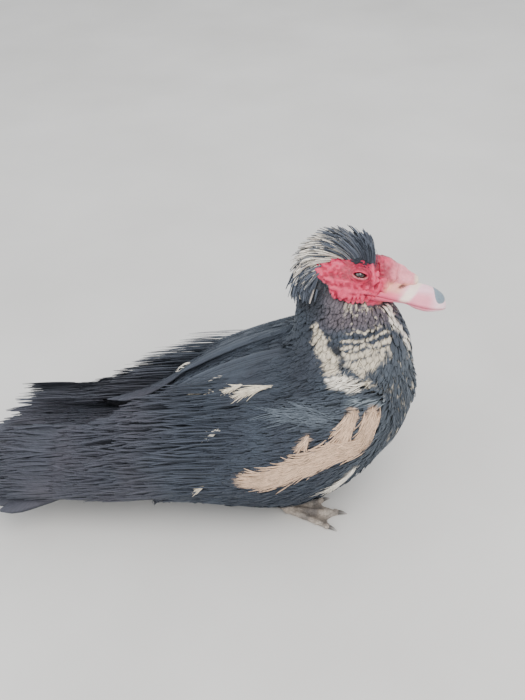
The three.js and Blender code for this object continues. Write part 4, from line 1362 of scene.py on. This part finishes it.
def make_crest(name, count, long_share, width, height):
    u = np.sort(rng.random(count))
    v = rng.uniform(-1, 1, count)
    along, root_lean, tip_lean, long = CREST_LINE(u)
    point, out, back = crown(along + 3 * rng.uniform(-1, 1, count), v * mix(8, 50, smooth(0, 0.34, u)))
    point, _ = settle(head_plain, point, 0.0, 3)
    length = long * long_share * rng.uniform(0.84, 1.1, count) * (1 - 0.16 * np.abs(v))
    root_lean = root_lean * height * (1 - 0.35 * np.abs(v)) + rng.uniform(-9, 9, count)
    tip_lean = tip_lean + rng.uniform(-8, 8, count)
    flare = 0.10 * v + rng.uniform(-0.16, 0.16, count)
    stations = 9
    s = np.linspace(0, 1, stations)
    lean = np.radians(mix(root_lean[:, None], tip_lean[:, None], s))[..., None]
    sideward = np.array([0, 1, 0]) * flare[:, None, None]
    heading = unit(back[:, None] * np.cos(lean) + out[:, None] * np.sin(lean) + sideward)
    steps = heading * ((length + 4) / (stations - 1))[:, None, None]
    paths = (point - 4 * out)[:, None] + np.concatenate([0 * steps[:, :1], np.cumsum(steps[:, 1:], 1)], 1)
    sideways = np.where(v < 0, -1, 1)[:, None] * np.array([0, 1, 0])
    face_way = out * 0.55 + sideways * 0.45 + 0.25 * rng.standard_normal((count, 3))
    normals = np.repeat(face_way[:, None], stations, 1)
    upper = smooth(0.9, 0.76, u)
    likely = smooth(0.25, 0.5, u) * mix(0.05, 0.5, upper)
    likely = likely + 0.3 * smooth(0.6, 0.95, np.abs(v)) * smooth(0.4, 0.5, u) * upper
    pale = (rng.random(count) < likely) * 1.0
    edge_pale = smooth(0.15, 0.4, u) * upper * (rng.random(count) < 0.45)
    a = np.abs(np.linspace(-1, 1, 5))[None, None, :, None]
    dark = CREST_DARK * (1 + 0.25 * rng.standard_normal((count, 1, 1))).clip(0.5, 1.6)
    light = mix(GREY_CREAM, CREAM_PALE, rng.random((count, 1, 1)))
    # Painted shade: pale strands darker towards the root.
    light = light * np.linspace(0.72, 1.08, stations)[:, None]
    ink = mix(dark, light, pale[:, None, None])[:, :, None]
    ink = mix(ink, CREAM_PALE, edge_pale[:, None, None, None] * smooth(0.4, 0.9, a))
    wide = width * (1 + 0.2 * rng.standard_normal((count, 1))).clip(0.5, 1.6)
    widths = wide * [0.8, 1.0, 1.0, 1.0, 0.96, 0.9, 0.8, 0.66, 0.4]
    places = np.stack([0.5 + 0.45 * v, 0.05 + 0.9 * u], -1)
    dress(vanes(name, from_head(paths), normals @ HEAD_TURN.T, widths, 0.45, ink, places, HAIRY))


# Bill

def loft(name, sections, material, colours):
    """A closed tube from rings of points: sections, around, 3."""
    count, around = sections.shape[:2]
    j = np.arange(count - 1)[:, None] * around
    k = np.arange(around)
    here = j + k
    beside = j + (k + 1) % around
    quads = np.stack([here, beside, beside + around, here + around], -1).reshape(-1, 4)
    first = k[::-1][None]
    last = ((count - 1) * around + k)[None]
    made = mesh_object(name, sections.reshape(-1, 3), [quads, np.concatenate([first, last])], material)
    tint(made, colours.reshape(-1, 3))
    return made


def bill_colour(q, upper):
    x, z = q[..., 0], q[..., 2]
    wave = 1.5 * noise(q, 7)
    colour = over(FACE_PINK, BILL_PINK, smooth(44, 78, x))
    yellow = smooth(72, 58, x) * smooth(-12, -2, z) * (0.65 + 0.3 * noise(q, 5))
    colour = over(colour, YELLOW_SKIN, upper * yellow)
    slant = x - 0.585 * (z + 6) + 1.4 * wave
    patch = smooth(74, 80, slant) * smooth(106, 92, x) * smooth(3, -6, z)
    colour = over(colour, FACE_PINK, 0.62 * patch)
    band = smooth(64, 68, slant) * smooth(79, 74, slant) * (0.85 + 0.15 * noise(q, 3)) * upper
    colour = over(colour, BILL_BAND, band)
    gape = smooth(84, 70, x) * smooth(-4, -10, z) * smooth(69, 60, slant)
    colour = over(colour, FACE_PINK, 0.55 * gape)
    return over(colour, BILL_TIP, 0.4 * smooth(100, 110, x))


def bill_rings(upper, x, a):
    """Places on the bill: x along it, a round it."""
    ridge, mouth, under, half = bill_at(np.broadcast_to(x, np.broadcast(x, a).shape))
    flat = mouth if upper else mouth - 0.35
    tall = (ridge if upper else under) - flat
    y = half * (1 if upper else 0.9) * np.cos(a)
    z = flat + tall * np.maximum(np.sin(a), 0) ** 0.8
    return np.stack(np.broadcast_arrays(x, y, z), -1).copy(), flat


NOSTRIL_AT = np.array([63.5, 12.2, 2.6])
NOSTRIL_LEAN = math.radians(-32)


def make_bill(upper):
    x = np.linspace(34, 118.5, 120)[:, None]
    a = round_angles(84)[None]
    q, flat = bill_rings(upper, x, a)
    out = np.sign(q[..., 1])
    dent = np.zeros(q.shape[:2])
    if upper:
        lip = np.exp(-(((q[..., 2] - flat - 0.8) / 1.3) ** 2)) * smooth(0.3, 0.7, np.abs(np.cos(a)))
        q[..., 1] += out * 0.45 * lip
        off = (folded(q) - NOSTRIL_AT) @ turn_y(-NOSTRIL_LEAN).T
        hole = ((off / [7.5, 7, 2.3]) ** 2).sum(-1)
        dent = np.exp(-1.4 * hole)
        q[..., 1] -= out * 3.2 * dent
        q[..., 1] += out * 0.5 * np.exp(-1.5 * (hole - 1.8) ** 2)
    else:
        groove = np.exp(-((q[..., 1] / 5.0) ** 2)) * smooth(0, 3, flat - q[..., 2])
        q[..., 2] += 0.8 * groove
    colour = bill_colour(q, upper)
    # Painted shade in the nostril's dent.
    colour = over(colour, NOSTRIL_SHADE, 0.9 * smooth(0.2, 0.6, dent))
    # Painted shade: a darker pink along the line of the mouth.
    colour = over(colour, FACE_PINK * 0.8, 0.4 * smooth(1.4, 0.1, np.abs(q[..., 2] - flat)))
    part = "upper" if upper else "lower"
    dress(loft(f"{part}_bill", from_head(q), BILL_HORN, colour), "bill_skin", f"bill_{part}")


def ball_rings(rows=40, around=56):
    """Rings of a ball of radius 1 about its y axis, closed at both poles."""
    t = np.linspace(0.02, math.pi - 0.02, rows)[:, None]
    a = round_angles(around)[None]
    return np.stack(np.broadcast_arrays(np.sin(t) * np.cos(a), np.cos(t), np.sin(t) * np.sin(a)), -1)


def make_nail():
    """A low horny plate that wraps the tip of the upper bill down to its sides."""
    share = np.concatenate([np.linspace(0.02, 1, 26), np.linspace(0.98, 0.02, 8)])[:, None]
    below = np.concatenate([np.zeros(26), np.ones(8)])[:, None]
    turn = round_angles(72)[None]
    square = [np.sign(part) * np.abs(part) ** 0.75 for part in (np.cos(turn), np.sin(turn))]
    x = 107.8 + 9.2 * share * square[0]
    a = math.pi / 2 + 1.46 * share * square[1]
    q, _ = bill_rings(True, x, a)
    proud = 0.9 * (1 - share**5) - 0.35 - 1.8 * below * (1 - share**6)
    middle = np.array([106.0, 0, -12])
    q = q + unit(q - middle) * proud[..., None]
    rim = smooth(0.84, 1.0, share + 0.07 * noise(q, 3))
    colour = over(HORN_BLUE, HORN_PALE, rim)
    dress(loft("nail", from_head(q), NAIL_HORN, colour), "nail_horn", "bill_nail")


def make_eye(side, label):
    way = ball_rings()
    places = EYE_AT * [1, side, 1] + way * (EYE_RADIUS - 0.15)
    look = np.degrees(np.arccos(np.clip(side * way[..., 1], -1, 1)))
    places[..., 1] += side * 0.7 * smooth(46, 0, look)
    colour = over(IRIS, IRIS_EDGE, smooth(34, 50, look))
    colour = over(PUPIL, colour, smooth(21, 24, look))
    colour = over(colour, EYE_RING, smooth(50, 56, look))
    dress(loft(f"eyeball_{label}", from_head(places), EYE_WET, colour), "eye", f"eye_{label}")


# Legs, feet and claws

FOOT_AT = np.array([2.0, 60, 11])
HOCK_AT = np.array([-40.0, 66, 44])
TOES = [  # name, length, turn in degrees, half thickness
    ("inner", 47, -24, 3.6), ("middle", 64, 3, 4.0), ("outer", 58, 29, 3.6),
]
CLAW_LONG = 10


def toe_point(toe, along):
    _, _, turn, thick = toe
    a = math.radians(turn)
    return np.array([FOOT_AT[0] + along * math.cos(a), FOOT_AT[1] + along * math.sin(a), thick - 0.6])


def hind_point(along):
    return np.array([FOOT_AT[0] - 6 - along * 0.86, FOOT_AT[1] - 3 - along * 0.42, 9.5 - along * 0.14])


def rod(p, a, b, ra, rb):
    """Level of a round rod that changes its radius."""
    away, s = to_segment(p, a, b)
    return away - mix(ra, rb, s)


def foot_level(p):
    level = rod(p, FOOT_AT + [-4, 0, 0], HOCK_AT, 6.2, 6.6)
    level = blend(level, rod(p, FOOT_AT + [-4, 0, -4.5], FOOT_AT + [-4, 0, 0], 6.4, 6.4), 3)
    level = blend(level, rod(p, HOCK_AT, HOCK_AT + [34, -8, 26], 7.5, 15), 6)
    for toe in TOES:
        _, length, _, thick = toe
        knots = [FOOT_AT + [-4, 0, -4.5]] + [toe_point(toe, length * f) for f in (0.34, 0.68, 0.97)]
        radii = [thick + 1.6, thick + 0.5, thick, thick - 1.1]
        for k in range(3):
            level = blend(level, rod(p, knots[k], knots[k + 1], radii[k], radii[k + 1]), 1.6)
        for joint in (0.36, 0.66, 0.92):
            swell = toe_point(toe, length * joint)
            level = blend(level, ball(p, swell, np.full(3, thick + 0.5)), 1.5)
    level = blend(level, rod(p, hind_point(-5), hind_point(17), 3.8, 2.2), 2)
    flat = p - [FOOT_AT[0], FOOT_AT[1], 0]
    r = np.hypot(flat[..., 0], flat[..., 1])
    turn = np.degrees(np.arctan2(flat[..., 1], flat[..., 0]))
    reach = np.interp(turn, [-24, -18, -10, -3, 3, 10, 17, 24, 29], [45, 42, 44, 54, 61, 54, 50, 52, 55])
    edge = np.maximum(r - reach, np.maximum(-24 - turn, turn - 29) * np.maximum(r, 1) * 0.017)
    web = np.maximum(edge, np.abs(p[..., 2] - 1.5 - 0.5 * np.sin(r * 0.4)) - 1.3)
    level = blend(level, web, 2.2)
    rings = 0.25 * np.sin(r * 1.9) * smooth(6, 3, np.abs(level + 0.5)) * (p[..., 2] > 1.5)
    level = level - rings - 0.25 * noise(p, 3)
    return np.maximum(level, 0.15 - p[..., 2])


def make_foot(side, label):
    xs, ys, zs = (np.arange(start, end, 1.25) for start, end in ((-56, 74), (22, 108), (-1.25, 86)))
    points, quads = one_surface(*level_mesh(foot_level, xs, ys, zs))
    colour = mix(FOOT_DARK, FOOT_SKIN, smooth(-0.6, 0.5, noise(points, 12))[:, None])
    dust = smooth(0.0, 0.8, noise(points + 40, 7)) * smooth(12, 3, points[:, 2])
    colour = mix(colour, FOOT_PALE, (0.7 * dust)[:, None])
    points = points * [1, side, 1]
    piece = mesh_object(f"foot_skin_{label}", points, [outward(points, quads)], FOOT_SCALES)
    tint(piece, colour)
    dress(piece, "foot_skin", f"foot_{label}", f"leg_{label}")


def make_claw(side, label, toe):
    name = toe[0] if toe else "hind"
    if toe:
        start, end, thick = toe_point(toe, toe[1] - 2.5), toe_point(toe, toe[1] + CLAW_LONG), toe[3] - 1.1
        start[2] = toe[3] - 0.9
        end[2] = 0.7
    else:
        start, end, thick = hind_point(15.5), hind_point(24), 2.0
        end[2] -= 2
    s = np.linspace(0, 1, 16)[:, None]
    path = mix(start, end, s) + np.array([0, 0, 1.6]) * 4 * s * (1 - s) * 0.7
    path = path * [1, side, 1]
    along = unit(np.gradient(path, axis=0))
    aside = unit(np.cross(along, [0, 0, 1.0]))
    up = np.cross(aside, along)
    a = round_angles(20)[None, :, None]
    radius = (thick * (1 - s**1.6) + 0.35)[:, :, None]
    rings = path[:, None] + radius * (aside[:, None] * np.cos(a) + up[:, None] * np.sin(a))
    rings[..., 2] = np.maximum(rings[..., 2], 0.12)
    colour = mix(CLAW_DARK, HORN_PALE * 0.6, s[:, :, None] ** 2 + 0 * a)
    piece = loft(f"claw_horn_{label}_{name}", rings, CLAW_HORN, colour * np.ones((1, 1, 3)))
    dress(piece, "claw_horn", f"claw_{label}_{name}")


make_coat()
strands("flank_band", FLANK_MARKS, 0.8, 2.4, 5)
strands("pale_marks", BODY_MARKS, 0.6, 1.5, 4, 1.5)
# Light blue-grey hairs that paint streaks of sheen on the shoulders.
strands("shoulder_sheen_streaks", SHOULDER_SHEEN_STREAKS, 0.12, 1.1, 6)
make_tail()
for side, label in SIDES:
    make_plumes(side, label)
for side, label in SIDES:
    make_wing(side, label)
    make_eye(side, label)
    make_foot(side, label)
    for toe in [*TOES, None]:
        make_claw(side, label, toe)
make_crest("crest_long", 1400, 1.0, 2.4, 1.0)
make_crest("crest_short", 950, 0.66, 2.4, 0.75)
make_bill(True)
make_bill(False)
make_nail()


# Floor, light and camera

def make_floor():
    m = Nodes("floor")
    cloud = m.noise(m.where(), 3.0, 4.0)
    colour = m.mix(m.spread(cloud, 0.3, 0.7), (0.62, 0.60, 0.57, 1.0), (0.70, 0.68, 0.65, 1.0))
    m.to_surface("Base Color", colour)
    m.set(Roughness=0.85)
    reach = 9.0
    below = -0.0005
    mesh = bpy.data.meshes.new("floor")
    corners = [(reach * x, reach * y, below) for x, y in ((-1, -1), (1, -1), (1, 1), (-1, 1))]
    mesh.from_pydata(corners, [], [(0, 1, 2, 3)])
    mesh.materials.append(m.material)
    in_scene("floor", mesh)


def set_at(name, data, ways, place):
    """Puts a light or a camera in the scene with its x, y and z ways and its place."""
    made = in_scene(name, data)
    matrix = Matrix.Identity(4)
    for row in range(3):
        matrix[row] = [*(way[row] for way in ways), place[row]]
    made.matrix_world = matrix
    return made


def add_light(name, place, target, size, energy, colour):
    data = bpy.data.lights.new(name, "AREA")
    data.shape = "DISK"
    data.size = size
    data.energy = energy
    data.color = colour
    back = unit(place - target)
    right = unit(np.cross([0, 0, 1.0], back))
    set_at(name, data, (right, np.cross(back, right), back), place)


def make_world():
    world = bpy.data.worlds.new("studio")
    bpy.context.scene.world = world
    world.use_nodes = True
    back = world.node_tree.nodes["Background"]
    back.inputs["Color"].default_value = (0.93, 0.96, 1.0, 1.0)
    back.inputs["Strength"].default_value = 1.15


# The photograph's view: focal length in pixels, angles in degrees, and the camera's place in millimetres.
FOCAL = 850
PITCH, ROLL, AZIMUTH = 38, 3.1, 4
CAMERA_AT = np.array([28.556, -814.893, 864.734])
LONG_SIDE = 700  # pixels
SENSOR = 36


def make_camera():
    p, r, a = math.radians(PITCH), math.radians(ROLL), math.radians(AZIMUTH)
    back = np.array([math.sin(a) * math.cos(p), -math.cos(a) * math.cos(p), math.sin(p)])
    right = unit(np.cross(-back, [0, 0, 1.0]))
    up = np.cross(right, -back)
    rolled = right * math.cos(r) - up * math.sin(r)
    data = bpy.data.cameras.new("camera")
    data.sensor_fit = "VERTICAL"
    data.sensor_height = SENSOR
    data.lens = SENSOR * FOCAL / LONG_SIDE
    place = CAMERA_AT * MM + SHIFT
    bpy.context.scene.camera = set_at("camera", data, (rolled, np.cross(back, rolled), back), place)


make_floor()
make_world()
add_light("key", SHIFT + [0.5, -1.1, 2.0], SHIFT + [0, 0, 0.15], 1.8, 42, (1.0, 0.98, 0.95))
add_light("fill", SHIFT + [-1.5, -0.9, 1.2], SHIFT + [-0.1, 0, 0.1], 1.8, 15, (0.9, 0.95, 1.0))
add_light("rim", SHIFT + [0.3, 1.6, 1.5], SHIFT + [0, 0, 0.2], 1.4, 8, (0.95, 0.98, 1.0))
make_camera()
